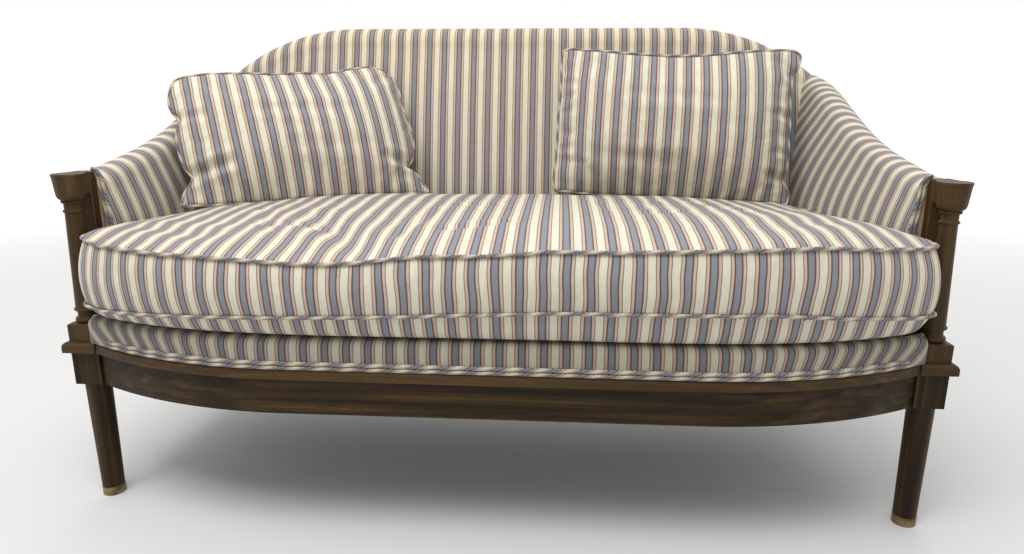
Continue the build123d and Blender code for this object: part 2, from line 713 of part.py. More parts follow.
def rest_on(piece, seat):
    """Lifts a loose piece clear of its seat, then lowers it until the loose gap is left."""
    gap = piece.distance_to(seat)
    while gap < LOOSE_GAP:
        piece = Pos(0, 0, LOOSE_STEP) * piece
        gap = piece.distance_to(seat)
    while gap > LOOSE_GAP + LOOSE_GAP / 2:
        piece = Pos(0, 0, LOOSE_GAP - gap) * piece
        gap = piece.distance_to(seat)
    return piece


def clear_of(piece, others, side):
    """Moves a loose piece inwards, forwards and up until it is clear of everything near it."""
    step = Pos(-side * LOOSE_STEP, -LOOSE_STEP, LOOSE_STEP)
    while min(piece.distance_to(other) for other in others) < LOOSE_GAP:
        piece = step * piece
    return piece


# The assembly

leg = front_leg()
post = rear_post()
front_rail = bow_strip(0, -FRONT_RAIL_T, POST_INNER, Z_RAIL, Z_MOULD)
side_rail = side_layer(-ARM_HALF, SIDE_RAIL_OUT, POST_REAR_Y, BACK_Y, Z_RAIL, Z_MOULD)
post_inner = side_x(BACK_Y) - ARM_HALF
back_rail = block(-post_inner, post_inner, BACK_Y, BACK_Y + BACK_T, Z_RAIL, Z_MOULD)

block_x = POST_INNER - CORNER_BLOCK_LEG
block_y = POST_REAR_Y + CORNER_BLOCK_LEG
front_start = (block_x, bow_y(block_x, -FRONT_RAIL_T / 2))
front_end = (side_x(block_y) - ARM_HALF / 2, block_y)
front_corner = [front_start, (POST_X, COLUMN_Y), front_end]
front_brace = corner_brace(front_corner, [front_rail, leg, side_rail])
front_screws = brace_screws(front_start, front_end)

rear_y = BACK_Y + BACK_T / 2
rear_start = (side_x(BACK_Y - CORNER_BLOCK_LEG) - ARM_HALF / 2, BACK_Y - CORNER_BLOCK_LEG)
rear_end = (post_inner - CORNER_BLOCK_LEG, rear_y)
rear_corner = [rear_start, (post_inner + ARM_HALF, rear_y), rear_end]
rear_brace = corner_brace(rear_corner, [back_rail, post, side_rail])
rear_screws = brace_screws(rear_start, rear_end)

for screw in front_screws:
    front_brace -= screw
    leg -= screw
    front_rail -= screw
    front_rail -= mirrored(screw)
    side_rail -= screw
for screw in rear_screws:
    rear_brace -= screw
    post -= screw
    back_rail -= screw
    back_rail -= mirrored(screw)
    side_rail -= screw

add_pair("front_leg", leg)
add_pair("front_ferrule", ferrule())
add_pair("corner_moulding", corner_moulding())
add_pair("front_column", column())
add_pair("capital", capital())
add_pair("arm_stile", arm_stile())
nodes["front_rail"] = front_rail
nodes["front_moulding"] = front_moulding()
add_pair("side_rail", side_rail)
add_pair("side_moulding", side_moulding())
nodes["back_rail"] = back_rail
add_pair("rear_post", post)
glide = rear_glide()
nodes["rear_glides"] = Compound(children=[glide, mirrored(glide)])
braces = [front_brace, mirrored(front_brace), rear_brace, mirrored(rear_brace)]
nodes["corner_blocks"] = Compound(children=braces)
screws = front_screws + rear_screws
nodes["corner_block_screws"] = Compound(children=screws + [mirrored(s) for s in screws])

arm_board = side_layer(-ARM_HALF, ARM_HALF, POST_REAR_Y, ARM_END_Y, Z_MOULD, Z_CREST)
in_front = back_layer(-REACH / 2, 0, 0, Z_CREST)
arm_core = arm_board & arm_profile(PAD_TOP, Z_MOULD, POST_REAR_Y, ARM_END_Y)
under_rail = arm_profile(PAD_TOP + ARM_RAIL_H, 0, POST_REAR_Y, ARM_END_Y)
add_pair("arm_rail", (arm_core & in_front) - under_rail)
upright_end = POST_REAR_Y + ARM_UPRIGHT_D
upright_zone = block(0, REACH, POST_REAR_Y, upright_end, Z_MOULD, Z_CREST)
add_pair("arm_upright", arm_board & upright_zone & under_rail)
tack_top = Z_TACK + TACK_RAIL_H
tack_zone = block(0, REACH, upright_end, REACH, Z_TACK, tack_top)
add_pair("arm_tack_rail", arm_board & tack_zone & in_front)

back_board = back_layer(0, BACK_T, Z_MOULD, Z_CREST)
between_posts = between_sides(-ARM_HALF, 0, ARM_END_Y, Z_MOULD, Z_CREST)
crest_band = crest_solid(PAD_TOP, POST_X, 0) - crest_solid(PAD_TOP + CREST_RAIL_H, POST_X, 0)
nodes["crest_rail"] = crest_band & back_board & between_posts
tack_band = block(-REACH, REACH, -REACH, REACH, Z_TACK, tack_top)
nodes["back_tack_rail"] = back_board & between_posts & tack_band
upright_top = Z_CREST - PAD_TOP - CREST_RAIL_H
upright_x = (BACK_UPRIGHT_X - BACK_UPRIGHT_W / 2, BACK_UPRIGHT_X + BACK_UPRIGHT_W / 2)
add_pair("back_upright", back_board & block(*upright_x, -REACH, REACH, tack_top, upright_top))

behind = back_layer(0, REACH / 2, 0, Z_CREST)
right_arm = inside_arm(arm_core, [behind, post])
left_arm = mirrored(right_arm)
nodes["inside_arm_right"] = right_arm
nodes["inside_arm_left"] = left_arm
arm_side = in_front & side_layer(-ARM_HALF, REACH, POST_REAR_Y, ARM_END_Y, Z_MOULD, Z_CREST)
ends = [right_arm, arm_side, post]
padded_back = inside_back(ends + [mirrored(piece) for piece in ends])
nodes["inside_back"] = padded_back
outer_board = side_layer(ARM_HALF, ARM_HALF + COVER_T, POST_REAR_Y, ARM_END_Y, Z_SEAT, Z_CREST)
outer_shape = arm_profile(LIP_H + PAD_GAP, Z_SEAT, POST_REAR_Y, ARM_END_Y)
up_to_rear = back_layer(-REACH / 2, BACK_T, 0, Z_CREST)
add_pair("outside_arm", (outer_board & outer_shape & up_to_rear) - padded_back)
rear_board = back_layer(BACK_T, BACK_T + COVER_T, Z_RAIL, Z_CREST)
rear_shape = crest_solid(LIP_H + PAD_GAP, POST_X, 0)
rear_width = between_sides(ARM_HALF + COVER_T, 0, REACH, 0, Z_CREST)
nodes["outside_back"] = rear_board & rear_shape & rear_width

nodes["webbing_crosswise"] = Compound(children=cross_straps())
nodes["webbing_lengthwise"] = Compound(children=long_straps())
nodes["seat_deck"] = seat_deck()
nodes["front_edge_roll"] = edge_roll()
nodes["dust_cover"] = dust_cover([leg, mirrored(leg), post, mirrored(post)])
cushion = seat_cushion()
nodes["seat_cushion"] = cushion
left_pose = (LEFT_PILLOW_OUT, LEFT_PILLOW_TURN, LEFT_PILLOW_LEAN, LEFT_PILLOW_TILT)
left = rest_on(leaning_pillow(-1, LEFT_PILLOW_IN, *left_pose), cushion)
nodes["pillow_left"] = clear_of(left, [cushion, padded_back, left_arm], -1)
right_pose = (RIGHT_PILLOW_OUT, RIGHT_PILLOW_TURN, RIGHT_PILLOW_LEAN, RIGHT_PILLOW_TILT)
right = rest_on(leaning_pillow(1, RIGHT_PILLOW_IN, *right_pose), cushion)
nodes["pillow_right"] = clear_of(right, [cushion, padded_back, right_arm], 1)

os.makedirs("parts", exist_ok=True)
for name, part in nodes.items():
    export_step(part, f"parts/{name}.step")
    print(name, len(part.solids()), round(part.volume))
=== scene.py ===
# %% [markdown]
# # A striped settee
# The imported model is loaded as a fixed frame. Every piece below is made in the same metres and
# the same axes: X runs along the seat, -Y is the front, Z is up and the floor is at zero.

from math import cos, pi, radians, sin, sqrt, tan

import bmesh
import bpy
import numpy as np
from mathutils import Matrix, Vector, noise
from mathutils.geometry import delaunay_2d_cdt


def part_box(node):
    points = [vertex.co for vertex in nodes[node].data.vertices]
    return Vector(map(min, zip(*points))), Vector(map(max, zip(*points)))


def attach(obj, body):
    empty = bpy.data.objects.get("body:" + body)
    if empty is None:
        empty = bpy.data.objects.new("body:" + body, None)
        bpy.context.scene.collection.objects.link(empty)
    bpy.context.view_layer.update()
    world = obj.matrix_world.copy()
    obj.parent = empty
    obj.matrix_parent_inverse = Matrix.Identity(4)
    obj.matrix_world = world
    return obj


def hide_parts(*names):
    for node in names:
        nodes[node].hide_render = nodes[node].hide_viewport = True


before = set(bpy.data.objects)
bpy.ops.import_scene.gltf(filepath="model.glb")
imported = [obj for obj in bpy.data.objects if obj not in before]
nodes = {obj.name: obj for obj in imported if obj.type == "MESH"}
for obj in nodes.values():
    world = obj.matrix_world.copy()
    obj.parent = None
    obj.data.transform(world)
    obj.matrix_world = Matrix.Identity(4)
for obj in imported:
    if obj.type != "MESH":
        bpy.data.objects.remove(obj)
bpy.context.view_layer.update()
scene = bpy.context.scene

# %% [markdown]
# ## Camera
# The photograph looks slightly down on the settee from about chest height with a wide lens. The
# camera's axes follow from its yaw, pitch and roll, and become the columns of its matrix.

# %% Camera
EYE = Vector((0.1098, -1.4243, 0.7312))
YAW, PITCH, ROLL = radians(-3.87), radians(14.29), radians(0.10)
FOCAL_PIXELS, PHOTO_PIXELS, SENSOR_MM = 717.0, 1024.0, 36.0


def link_new(name, data):
    made = bpy.data.objects.new(name, data)
    scene.collection.objects.link(made)
    return made


ahead = Vector((sin(YAW) * cos(PITCH), cos(YAW) * cos(PITCH), -sin(PITCH)))
level = Vector((cos(YAW), -sin(YAW), 0.0))
upright = level.cross(ahead)
right = level * cos(ROLL) + upright * sin(ROLL)
up = upright * cos(ROLL) - level * sin(ROLL)
camera_data = bpy.data.cameras.new("camera")
camera_data.sensor_width = SENSOR_MM
camera_data.lens = FOCAL_PIXELS * SENSOR_MM / PHOTO_PIXELS
scene.camera = link_new("camera", camera_data)
scene.camera.matrix_world = Matrix((*zip(right, up, -ahead, EYE), (0, 0, 0, 1)))
scene.view_settings.view_transform = "Standard"
print("lens", round(camera_data.lens, 2))

# %% [markdown]
# ## Node helpers
# One function adds a node and fills its inputs, with a plain value or with a link from another
# socket. The others add the nodes that are used most.

# %% Node helpers


def fill(tree, node, inputs):
    """Link each input that is given a socket, and set the value of the others."""
    for key, value in inputs.items():
        if isinstance(value, bpy.types.NodeSocket):
            tree.links.new(value, node.inputs[key])
        else:
            node.inputs[key].default_value = value


def add(tree, kind, inputs=(), **settings):
    made = tree.nodes.new(kind)
    for key, value in settings.items():
        setattr(made, key, value)
    fill(tree, made, dict(inputs))
    return made


def calc(tree, operation, first, second=0.0, third=0.0):
    values = {0: first, 1: second, 2: third}
    return add(tree, "ShaderNodeMath", values, operation=operation).outputs[0]


def scaled(tree, value, factor, plus=0.0):
    return calc(tree, "MULTIPLY_ADD", value, factor, plus)


def graded(tree, value, *ends, way="SMOOTHSTEP"):
    """Carry a value from one range to another; ends are from low, from high, to low, to high."""
    inputs = dict(zip(("From Min", "From Max", "To Min", "To Max"), ends), Value=value)
    return add(tree, "ShaderNodeMapRange", inputs, interpolation_type=way).outputs["Result"]


def soft_noise(tree, place, scales, detail=2.0, distortion=0.0):
    """Noise at a place given as two or three sockets, each with a scale of its own."""
    axes = [scaled(tree, *pair) for pair in zip(place, scales)]
    spot = add(tree, "ShaderNodeCombineXYZ", dict(enumerate(axes))).outputs[0]
    values = {"Vector": spot, "Scale": 1.0, "Detail": detail, "Distortion": distortion}
    return add(tree, "ShaderNodeTexNoise", values).outputs["Fac"]


def ramp(tree, value, stops):
    made = add(tree, "ShaderNodeValToRGB", {"Fac": value})
    points = made.color_ramp.elements
    while len(points) < len(stops):
        points.new(0.5)
    for point, (place, colour) in zip(points, stops):
        point.position = place
        point.color = (*colour, 1.0)
    return made.outputs["Color"]


def mix(tree, share, first, second, blend="MIX"):
    values = {0: share, 6: first, 7: second}
    return add(tree, "ShaderNodeMix", values, data_type="RGBA", blend_type=blend).outputs[2]


def bumps(tree, strength, distance, height, **below):
    values = {"Strength": strength, "Distance": distance, "Height": height, **below}
    return add(tree, "ShaderNodeBump", values).outputs["Normal"]


def new_material(name):
    made = bpy.data.materials.new(name)
    made.use_nodes = True
    return made, made.node_tree, made.node_tree.nodes["Principled BSDF"]


# %% [markdown]
# ## Floor and light
# A pale floor that fades to white, a bright room that is dimmer in front, and a large lamp above
# the front give the photograph's soft shading. A second lamp lights the back.

# %% Floor, room light and lamps
FLOOR_HALF = 80.0
FLOOR_NEAR, FLOOR_FAR, FLOOR_GLOW, ROOM_FRONT = 0.64, 0.95, 0.42, 0.36
LAMP_COLOUR = (1.0, 0.99, 0.97)

floor_mesh = bpy.data.meshes.new("floor")
square = ((-1, -1), (1, -1), (1, 1), (-1, 1))
corners = [(x * FLOOR_HALF, y * FLOOR_HALF, 0) for x, y in square]
floor_mesh.from_pydata(corners, [], [(0, 1, 2, 3)])
floor = link_new("floor", floor_mesh)
floor_paint, paint, skin = new_material("floor_paint")
place = add(paint, "ShaderNodeTexCoord").outputs["Object"]
distance = add(paint, "ShaderNodeVectorMath", {0: place}, operation="LENGTH").outputs["Value"]
fill(paint, skin, {
    "Base Color": graded(paint, distance, 1.0, 7.0, FLOOR_NEAR, FLOOR_FAR),
    "Emission Strength": graded(paint, distance, 1.2, 6.0, 0.0, FLOOR_GLOW),
    "Roughness": 0.9, "Specular IOR Level": 0.1,
})
floor_mesh.materials.append(floor_paint)

world = bpy.data.worlds.new("room")
world.use_nodes = True
sky = world.node_tree
incoming = add(sky, "ShaderNodeNewGeometry").outputs["Incoming"]


def looking(way):
    values = {0: incoming, 1: way}
    return add(sky, "ShaderNodeVectorMath", values, operation="DOT_PRODUCT").outputs["Value"]


room = graded(sky, looking((0, -0.6, -0.8)), -0.2, 0.6, ROOM_FRONT, 1.0)
skyline = graded(sky, looking((0, 0, -1)), 0.13, 0.26, 1.0, 0.0)
strength = calc(sky, "MAXIMUM", room, skyline)
fill(sky, sky.nodes["Background"], {"Color": (1, 1, 1, 1), "Strength": strength})
scene.world = world


def lamp(name, place, target, size, watts):
    data = bpy.data.lights.new(name, "AREA")
    data.shape = "RECTANGLE"
    data.size, data.size_y = size
    data.energy = watts
    data.color = LAMP_COLOUR
    made = link_new(name, data)
    made.location = place
    aim = Vector(target) - Vector(place)
    made.rotation_euler = aim.to_track_quat("-Z", "Y").to_euler()
    print(name, watts, "W")


lamp("lamp_above", (-0.55, -1.25, 2.85), (0, 0, 0.5), (2.2, 1.4), 65.0)
lamp("lamp_behind", (0.4, 2.4, 2.6), (0, 0.2, 0.6), (3.0, 1.5), 19.0)

# %% [markdown]
# ## Shared surface effects
# The cloth is a woven ticking: the same bands of cream, tan, plum and blue-grey repeat every 35 mm.
# One node group turns a distance across the cloth into the band's colour, with thread ribs and
# soiling; another gives old walnut. Materials then only choose where those distances come from.

# %% Ticking stripe group
NUMBER, COLOUR = "NodeSocketFloat", "NodeSocketColor"
REPEAT, RIB, PICK = 0.0346, 0.00125, 0.0015
CREAM = (0.62, 0.595, 0.49)
TAN = (0.50, 0.385, 0.315)
PLUM = (0.125, 0.068, 0.066)
BLUE = (0.205, 0.228, 0.268)
LINE = (0.20, 0.16, 0.13)
HALF_BANDS = [(0.118, BLUE), (0.186, PLUM), (0.296, TAN), (0.338, LINE), (0.5, CREAM)]
BAND_BLUR = 0.007
SOIL_TINT, YELLOW_TINT = (0.90, 0.81, 0.60, 1), (1.0, 0.90, 0.68, 1)


def new_group(name, inputs):
    """A shader group that puts out a colour, a height for Bump and a roughness."""
    tree = bpy.data.node_groups.new(name, "ShaderNodeTree")
    for label, kind, value in inputs:
        tree.interface.new_socket(label, in_out="INPUT", socket_type=kind).default_value = value
    for label, kind in (("Colour", COLOUR), ("Height", NUMBER), ("Roughness", NUMBER)):
        tree.interface.new_socket(label, in_out="OUTPUT", socket_type=kind)
    return tree, tree.nodes.new("NodeGroupInput").outputs, tree.nodes.new("NodeGroupOutput")


inputs = [("Across", NUMBER, 0.0), ("Along", NUMBER, 0.0), ("Soil", NUMBER, 0.25)]
ticking, given, result = new_group("ticking_stripe", inputs)
across, along = lie = given["Across"], given["Along"]
phase = calc(ticking, "PINGPONG", calc(ticking, "DIVIDE", across, REPEAT), 0.5)
stops = [(0.0, BLUE)]
for (edge, colour), (_, following) in zip(HALF_BANDS, HALF_BANDS[1:]):
    stops += [(edge * 2 - BAND_BLUR, colour), (edge * 2 + BAND_BLUR, following)]
bands = ramp(ticking, scaled(ticking, phase, 2.0), stops)
threads = soft_noise(ticking, lie, (950.0, 75.0))
slubs = soft_noise(ticking, lie, (160.0, 22.0))
light = scaled(ticking, slubs, 0.22, 0.76)
light = scaled(ticking, threads, 0.26, light)
grey = add(ticking, "ShaderNodeCombineColor", {0: light, 1: light, 2: light}).outputs[0]
yarn = mix(ticking, 1.0, bands, grey, "MULTIPLY")
blotch = soft_noise(ticking, lie, (5.0, 5.0), detail=5.0)
blotch = scaled(ticking, blotch, given["Soil"])
aged = mix(ticking, blotch, yarn, mix(ticking, 1.0, yarn, SOIL_TINT, "MULTIPLY"))
ribs = calc(ticking, "SINE", scaled(ticking, across, 2 * pi / RIB))
picks = calc(ticking, "SINE", scaled(ticking, along, 2 * pi / PICK))
weave = scaled(ticking, ribs, 0.35, scaled(ticking, picks, 0.2))
weave = scaled(ticking, threads, 0.9, weave)
rough = scaled(ticking, slubs, 0.2, 0.72)
fill(ticking, result, {"Colour": aged, "Height": weave, "Roughness": rough})
print("stripe stops", len(stops))

# %% Ticking materials


def cloth_material(name, soil=0.3, bump=0.35, crumple=0.25, yellowed=False, painted_shade=1.0):
    """Ticking laid by the Cloth map; yellowed stains it towards the top of the back.
    The last argument, below one, darkens all of the colour as painted shading.
    """
    made, tree, skin = new_material(name)
    place = add(tree, "ShaderNodeUVMap", uv_map="Cloth").outputs[0]
    u, v, _ = add(tree, "ShaderNodeSeparateXYZ", {0: place}).outputs
    values = {"Across": u, "Along": v, "Soil": soil}
    pattern = add(tree, "ShaderNodeGroup", values, node_tree=ticking).outputs
    folds = soft_noise(tree, (u, v), (26.0, 19.0), 3.0, 1.3)
    creased = bumps(tree, crumple, 0.005, folds)
    colour = pattern["Colour"]
    if yellowed:
        high = graded(tree, v, 0.36, 0.52, 0.0, 0.28, way="LINEAR")
        colour = mix(tree, high, colour, mix(tree, 1.0, colour, YELLOW_TINT, "MULTIPLY"))
    # Painted shading: the whole colour is darkened by a fixed factor.
    if painted_shade < 1.0:
        colour = mix(tree, 1.0, colour, (painted_shade, painted_shade, painted_shade, 1), "MULTIPLY")
    fill(tree, skin, {
        "Base Color": colour, "Roughness": pattern["Roughness"],
        "Normal": bumps(tree, bump, 0.0005, pattern["Height"], Normal=creased),
        "Sheen Weight": 0.12, "Specular IOR Level": 0.25,
    })
    return made


ticking_cloth = cloth_material("ticking_cloth")
ticking_soft = cloth_material("ticking_soft", crumple=0.8)
ticking_back = cloth_material("ticking_back", soil=0.45, yellowed=True)
# Painted shading: the welts are darker for the shadows along the cords, the border for the shadow
# under the cushion.
ticking_bias = cloth_material("ticking_bias", soil=0.4, bump=0.2, painted_shade=0.74)
ticking_border = cloth_material("ticking_border", soil=0.5, painted_shade=0.58)

# %% Old walnut group
DARK_PATCH = (0.016, 0.008, 0.003, 1)
PORE = (0.008, 0.005, 0.003, 1)
BARE_WOOD = (0.24, 0.14, 0.062, 1)

inputs = [("Vector", "NodeSocketVector", (0.0, 0.0, 0.0)), ("Wear", NUMBER, 0.0)]
walnut, given, result = new_group("old_walnut", inputs)
grain_axes = add(walnut, "ShaderNodeSeparateXYZ", {0: given["Vector"]}).outputs


def stretched(scale_along, scale_across, detail, distortion):
    scales = (scale_along, scale_across, scale_across)
    return soft_noise(walnut, grain_axes, scales, detail, distortion)


figure = stretched(2.0, 75.0, 5.0, 0.2)
pores = stretched(28.0, 900.0, 2.0, 0.2)
patches = stretched(3.0, 24.0, 3.0, 0.3)
tone = ramp(walnut, figure, [
    (0.3, (0.010, 0.0047, 0.0012)), (0.46, (0.029, 0.0152, 0.0038)),
    (0.6, (0.062, 0.0350, 0.0096)), (0.78, (0.130, 0.0780, 0.0250)),
])
tone = mix(walnut, scaled(walnut, patches, 0.6), tone, DARK_PATCH)
in_pore = calc(walnut, "LESS_THAN", pores, 0.40)
tone = mix(walnut, scaled(walnut, in_pore, 0.55), tone, PORE)
worn = scaled(walnut, given["Wear"], scaled(walnut, patches, 1.2, 0.2))
fill(walnut, result, {
    "Colour": mix(walnut, worn, tone, BARE_WOOD),
    "Height": scaled(walnut, in_pore, -0.6, figure),
    "Roughness": scaled(walnut, patches, 0.35, 0.30),
})

# %% Walnut materials
TURNS = {"x": (0, 0, 0), "y": (0, 0, radians(90)), "z": (0, radians(90), 0)}


def wood_material(name, turn, wear):
    """Walnut whose grain runs along X after the given turn of the object's own axes."""
    made, tree, skin = new_material(name)
    place = add(tree, "ShaderNodeTexCoord").outputs["Object"]
    turned = add(tree, "ShaderNodeMapping", {"Vector": place, "Rotation": turn}).outputs[0]
    values = {"Vector": turned, "Wear": wear}
    grain = add(tree, "ShaderNodeGroup", values, node_tree=walnut).outputs
    fill(tree, skin, {
        "Base Color": grain["Colour"], "Roughness": grain["Roughness"],
        "Normal": bumps(tree, 0.25, 0.0006, grain["Height"]),
        "Specular IOR Level": 0.14, "Coat Weight": 0.05, "Coat Roughness": 0.3,
    })
    return made


walnut_along, walnut_rubbed, walnut_worn = (
    {axis: wood_material(name + axis, turn, wear) for axis, turn in TURNS.items()}
    for name, wear in (("walnut_", 0.0), ("walnut_rubbed_", 0.16), ("walnut_worn_", 0.75))
)
print("walnut materials", 3 * len(TURNS))

# %% Metal, jute, lining and black cloth


def plain_material(name, dark, light, scale, roughness, metal=0.0, bump=0.2):
    """A mottled finish from two tones, for small and hidden parts."""
    made, tree, skin = new_material(name)
    place = add(tree, "ShaderNodeTexCoord").outputs["Object"]
    values = [{"Vector": place, "Scale": scale, "Detail": 5.0},
              {"Vector": place, "Scale": scale * 14, "Detail": 2.0}]
    spots, weave = (add(tree, "ShaderNodeTexNoise", each).outputs["Fac"] for each in values)
    fill(tree, skin, {
        "Base Color": ramp(tree, spots, [(0.3, dark), (0.7, light)]),
        "Roughness": scaled(tree, weave, 0.25, roughness),
        "Normal": bumps(tree, bump, 0.0006, weave), "Metallic": metal,
    })
    return made


old_brass = plain_material("old_brass", (0.12, 0.085, 0.04), (0.33, 0.25, 0.12), 60, 0.38, 0.9)
steel = plain_material("steel", (0.25, 0.25, 0.26), (0.5, 0.5, 0.5), 70, 0.35, 1.0)
jute = plain_material("jute", (0.16, 0.10, 0.05), (0.30, 0.20, 0.10), 90, 0.8, bump=0.6)
lining = plain_material("lining", (0.50, 0.46, 0.36), (0.62, 0.58, 0.47), 40, 0.8, bump=0.4)
black_cloth = plain_material(
    "black_cloth", (0.012, 0.012, 0.013), (0.03, 0.03, 0.03), 50, 0.85, bump=0.4)
frame_wood = plain_material("frame_beech", (0.30, 0.18, 0.09), (0.44, 0.29, 0.16), 14, 0.6)

# %% [markdown]
# ## The wooden frame
# The CAD nodes already have the right shapes. Each one gets walnut with its grain along the
# board, and a fine bevel whose faces use the worn finish, as hands rub polish off every edge.

# %% Finish the wooden and metal nodes
WELD_GAP = 0.00005
EDGE_WIDTH, EDGE_ANGLE = 0.0012, radians(42)
GRAIN = {
    "front_leg": "z", "corner_moulding": "x", "front_column": "z", "capital": "z",
    "arm_stile": "z", "side_rail": "y", "side_moulding": "y", "rear_post": "z",
    "front_rail": "x", "front_moulding": "x", "back_rail": "x",
}
RUBBED = set(GRAIN) - {"front_leg", "side_rail", "rear_post", "front_rail", "back_rail"}
PLAIN = {
    frame_wood: ("arm_rail", "arm_upright", "arm_tack_rail", "back_upright", "crest_rail",
                 "back_tack_rail", "corner_blocks"),
    old_brass: ("front_ferrule",),
    steel: ("rear_glides", "corner_block_screws"),
    jute: ("webbing_crosswise", "webbing_lengthwise"),
}

finished = []
for name, piece in nodes.items():
    kind = name.removesuffix("_left").removesuffix("_right")
    coats = [material for material, kinds in PLAIN.items() if kind in kinds]
    if kind in GRAIN:
        ground = walnut_rubbed if kind in RUBBED else walnut_along
        coats = [ground[GRAIN[kind]], walnut_worn[GRAIN[kind]]]
        piece.modifiers.new("weld", "WELD").merge_threshold = WELD_GAP
        edge = piece.modifiers.new("edge", "BEVEL")
        edge.width, edge.segments, edge.material = EDGE_WIDTH, 2, 1
        edge.limit_method, edge.angle_limit = "ANGLE", EDGE_ANGLE
        finished.append(name)
    if coats:
        piece.data.materials.clear()
    for material in coats:
        piece.data.materials.append(material)
print("finished wood", len(finished))

# %% [markdown]
# ## Cloth meshes with their own cloth map
# The stripe follows the cut of each panel, so every cloth mesh carries a map called Cloth that
# holds metres across the stripe and metres along it.

# %% Helpers for lines


def run_along(line, closed=True):
    """Distance of each point from the first; a closed line gets one more entry, its length."""
    ends = np.vstack([line, line[:1]]) if closed else line
    return np.concatenate([[0], np.cumsum(np.linalg.norm(np.diff(ends, axis=0), axis=1))])


def spaced(line, count, closed=True):
    """The same line with evenly spaced points."""
    ends = np.vstack([line, line[:1]]) if closed else line
    run = run_along(line, closed)
    want = np.linspace(0, run[-1], count + 1)[:-1] if closed else np.linspace(0, run[-1], count)
    return np.column_stack([np.interp(want, run, ends[:, k]) for k in range(3)])


def begun(line, order, forward, count):
    """The loop begun where order is least, towards forward, with evenly spaced points."""
    line = np.roll(line, -int(np.argmin(order)), 0)
    if (line[1] - line[0]) @ forward < (line[-1] - line[0]) @ forward:
        line = np.roll(line[::-1], 1, 0)
    return spaced(line, count)


def neighbours(line):
    return (np.roll(line, 1, 0) + np.roll(line, -1, 0)) / 2


def unit(ways):
    return ways / np.linalg.norm(ways, axis=1)[:, None]


def left_of(ways):
    return np.column_stack([-ways[:, 1], ways[:, 0], 0 * ways[:, 0]])


def ease(value, low, high):
    share = np.clip((value - low) / (high - low), 0, 1)
    return share * share * (3 - 2 * share)


def ripple(points, size, seed):
    """Smooth noise between -1 and 1 at each point, the same in every run."""
    start = Vector((seed, seed * 1.7, -seed))
    return np.array([noise.noise(Vector(p) / size + start) for p in points])


# %% Helpers for meshes


def make_object(name, points, faces, corner_uv, material):
    """A smooth mesh with its Cloth map and its faces turned outwards."""
    mesh = bpy.data.meshes.new(name)
    mesh.from_pydata([tuple(p) for p in points], [], faces)
    layer = mesh.uv_layers.new(name="Cloth")
    layer.data.foreach_set("uv", np.asarray(corner_uv, dtype=np.float32).ravel())
    mesh.polygons.foreach_set("use_smooth", [True] * len(mesh.polygons))
    mesh.materials.append(material)
    mesh.validate()
    work = bmesh.new()
    work.from_mesh(mesh)
    bmesh.ops.recalc_face_normals(work, faces=work.faces)
    work.to_mesh(mesh)
    work.free()
    print(name, len(points), "points", len(faces), "faces")
    return link_new(name, mesh)


def ring_piece(name, rings, ring_uv, material):
    """A tube of rings with flat caps; ring_uv has one more column than rings."""
    rings, ring_uv = np.array(rings), np.array(ring_uv)
    rows, columns = rings.shape[:2]
    faces, uv = [], []
    for r, c in np.ndindex(rows - 1, columns):
        here, d = r * columns, (c + 1) % columns
        faces.append((here + c, here + d, here + columns + d, here + columns + c))
        uv += [ring_uv[r, c], ring_uv[r, c + 1], ring_uv[r + 1, c + 1], ring_uv[r + 1, c]]
    for r in (0, rows - 1):
        faces.append(tuple(r * columns + c for c in range(columns)))
        uv += [ring_uv[r, c] for c in range(columns)]
    return make_object(name, rings.reshape(-1, 3), faces, uv, material)


def merged(name):
    """The mesh of a CAD node with its loose triangles joined."""
    work = bmesh.new()
    work.from_mesh(nodes[name].data)
    bmesh.ops.remove_doubles(work, verts=work.verts, dist=WELD_GAP)
    return work


def section(name, place, normal):
    """The longest closed line where a plane cuts a CAD node, as an ordered array of points."""
    work = merged(name)
    everything = work.verts[:] + work.edges[:] + work.faces[:]
    cut = bmesh.ops.bisect_plane(work, geom=everything, plane_co=place, plane_no=normal,
                                 clear_outer=True, clear_inner=True)
    near = {}
    for e in cut["geom_cut"]:
        if isinstance(e, bmesh.types.BMEdge):
            for a, b in (e.verts, reversed(e.verts)):
                near.setdefault(a, []).append(b)
    loops, left = [], set(near)
    while left:
        line = [left.pop()]
        while onward := [v for v in near[line[-1]] if v in left]:
            line.append(onward[0])
            left.discard(onward[0])
        loops.append(np.array([v.co[:] for v in line]))
    work.free()
    return max(loops, key=lambda loop: run_along(loop)[-1])


def adopt(piece, body, *replaced, slot="striped_cloth", fill=None):
    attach(piece, body)
    if replaced:
        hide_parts(*replaced)


# %% [markdown]
# ## Inside back
# The back is one striped panel pulled over padding and rolled over the arched crest. A slice of
# the CAD pad at the middle is carried along the crest line, so that the stripes stay upright and
# the roll keeps its size as the crest falls towards the ears.

# %% Inside back
CREST_FLAT, CREST_DROP, EAR_HALF = 0.380, 0.115, 0.6907
CREST_R = ((EAR_HALF - CREST_FLAT) ** 2 + CREST_DROP**2) / (2 * CREST_DROP)
RAKE_DEGREES, ROLL_HEIGHT = 11.0, 0.06
BACK_PHASE, BACK_RINGS = 0.0274, 93


def crest_fall(x):
    run = np.maximum(np.abs(x) - CREST_FLAT, 0.0)
    return CREST_R - np.sqrt(CREST_R**2 - run**2)


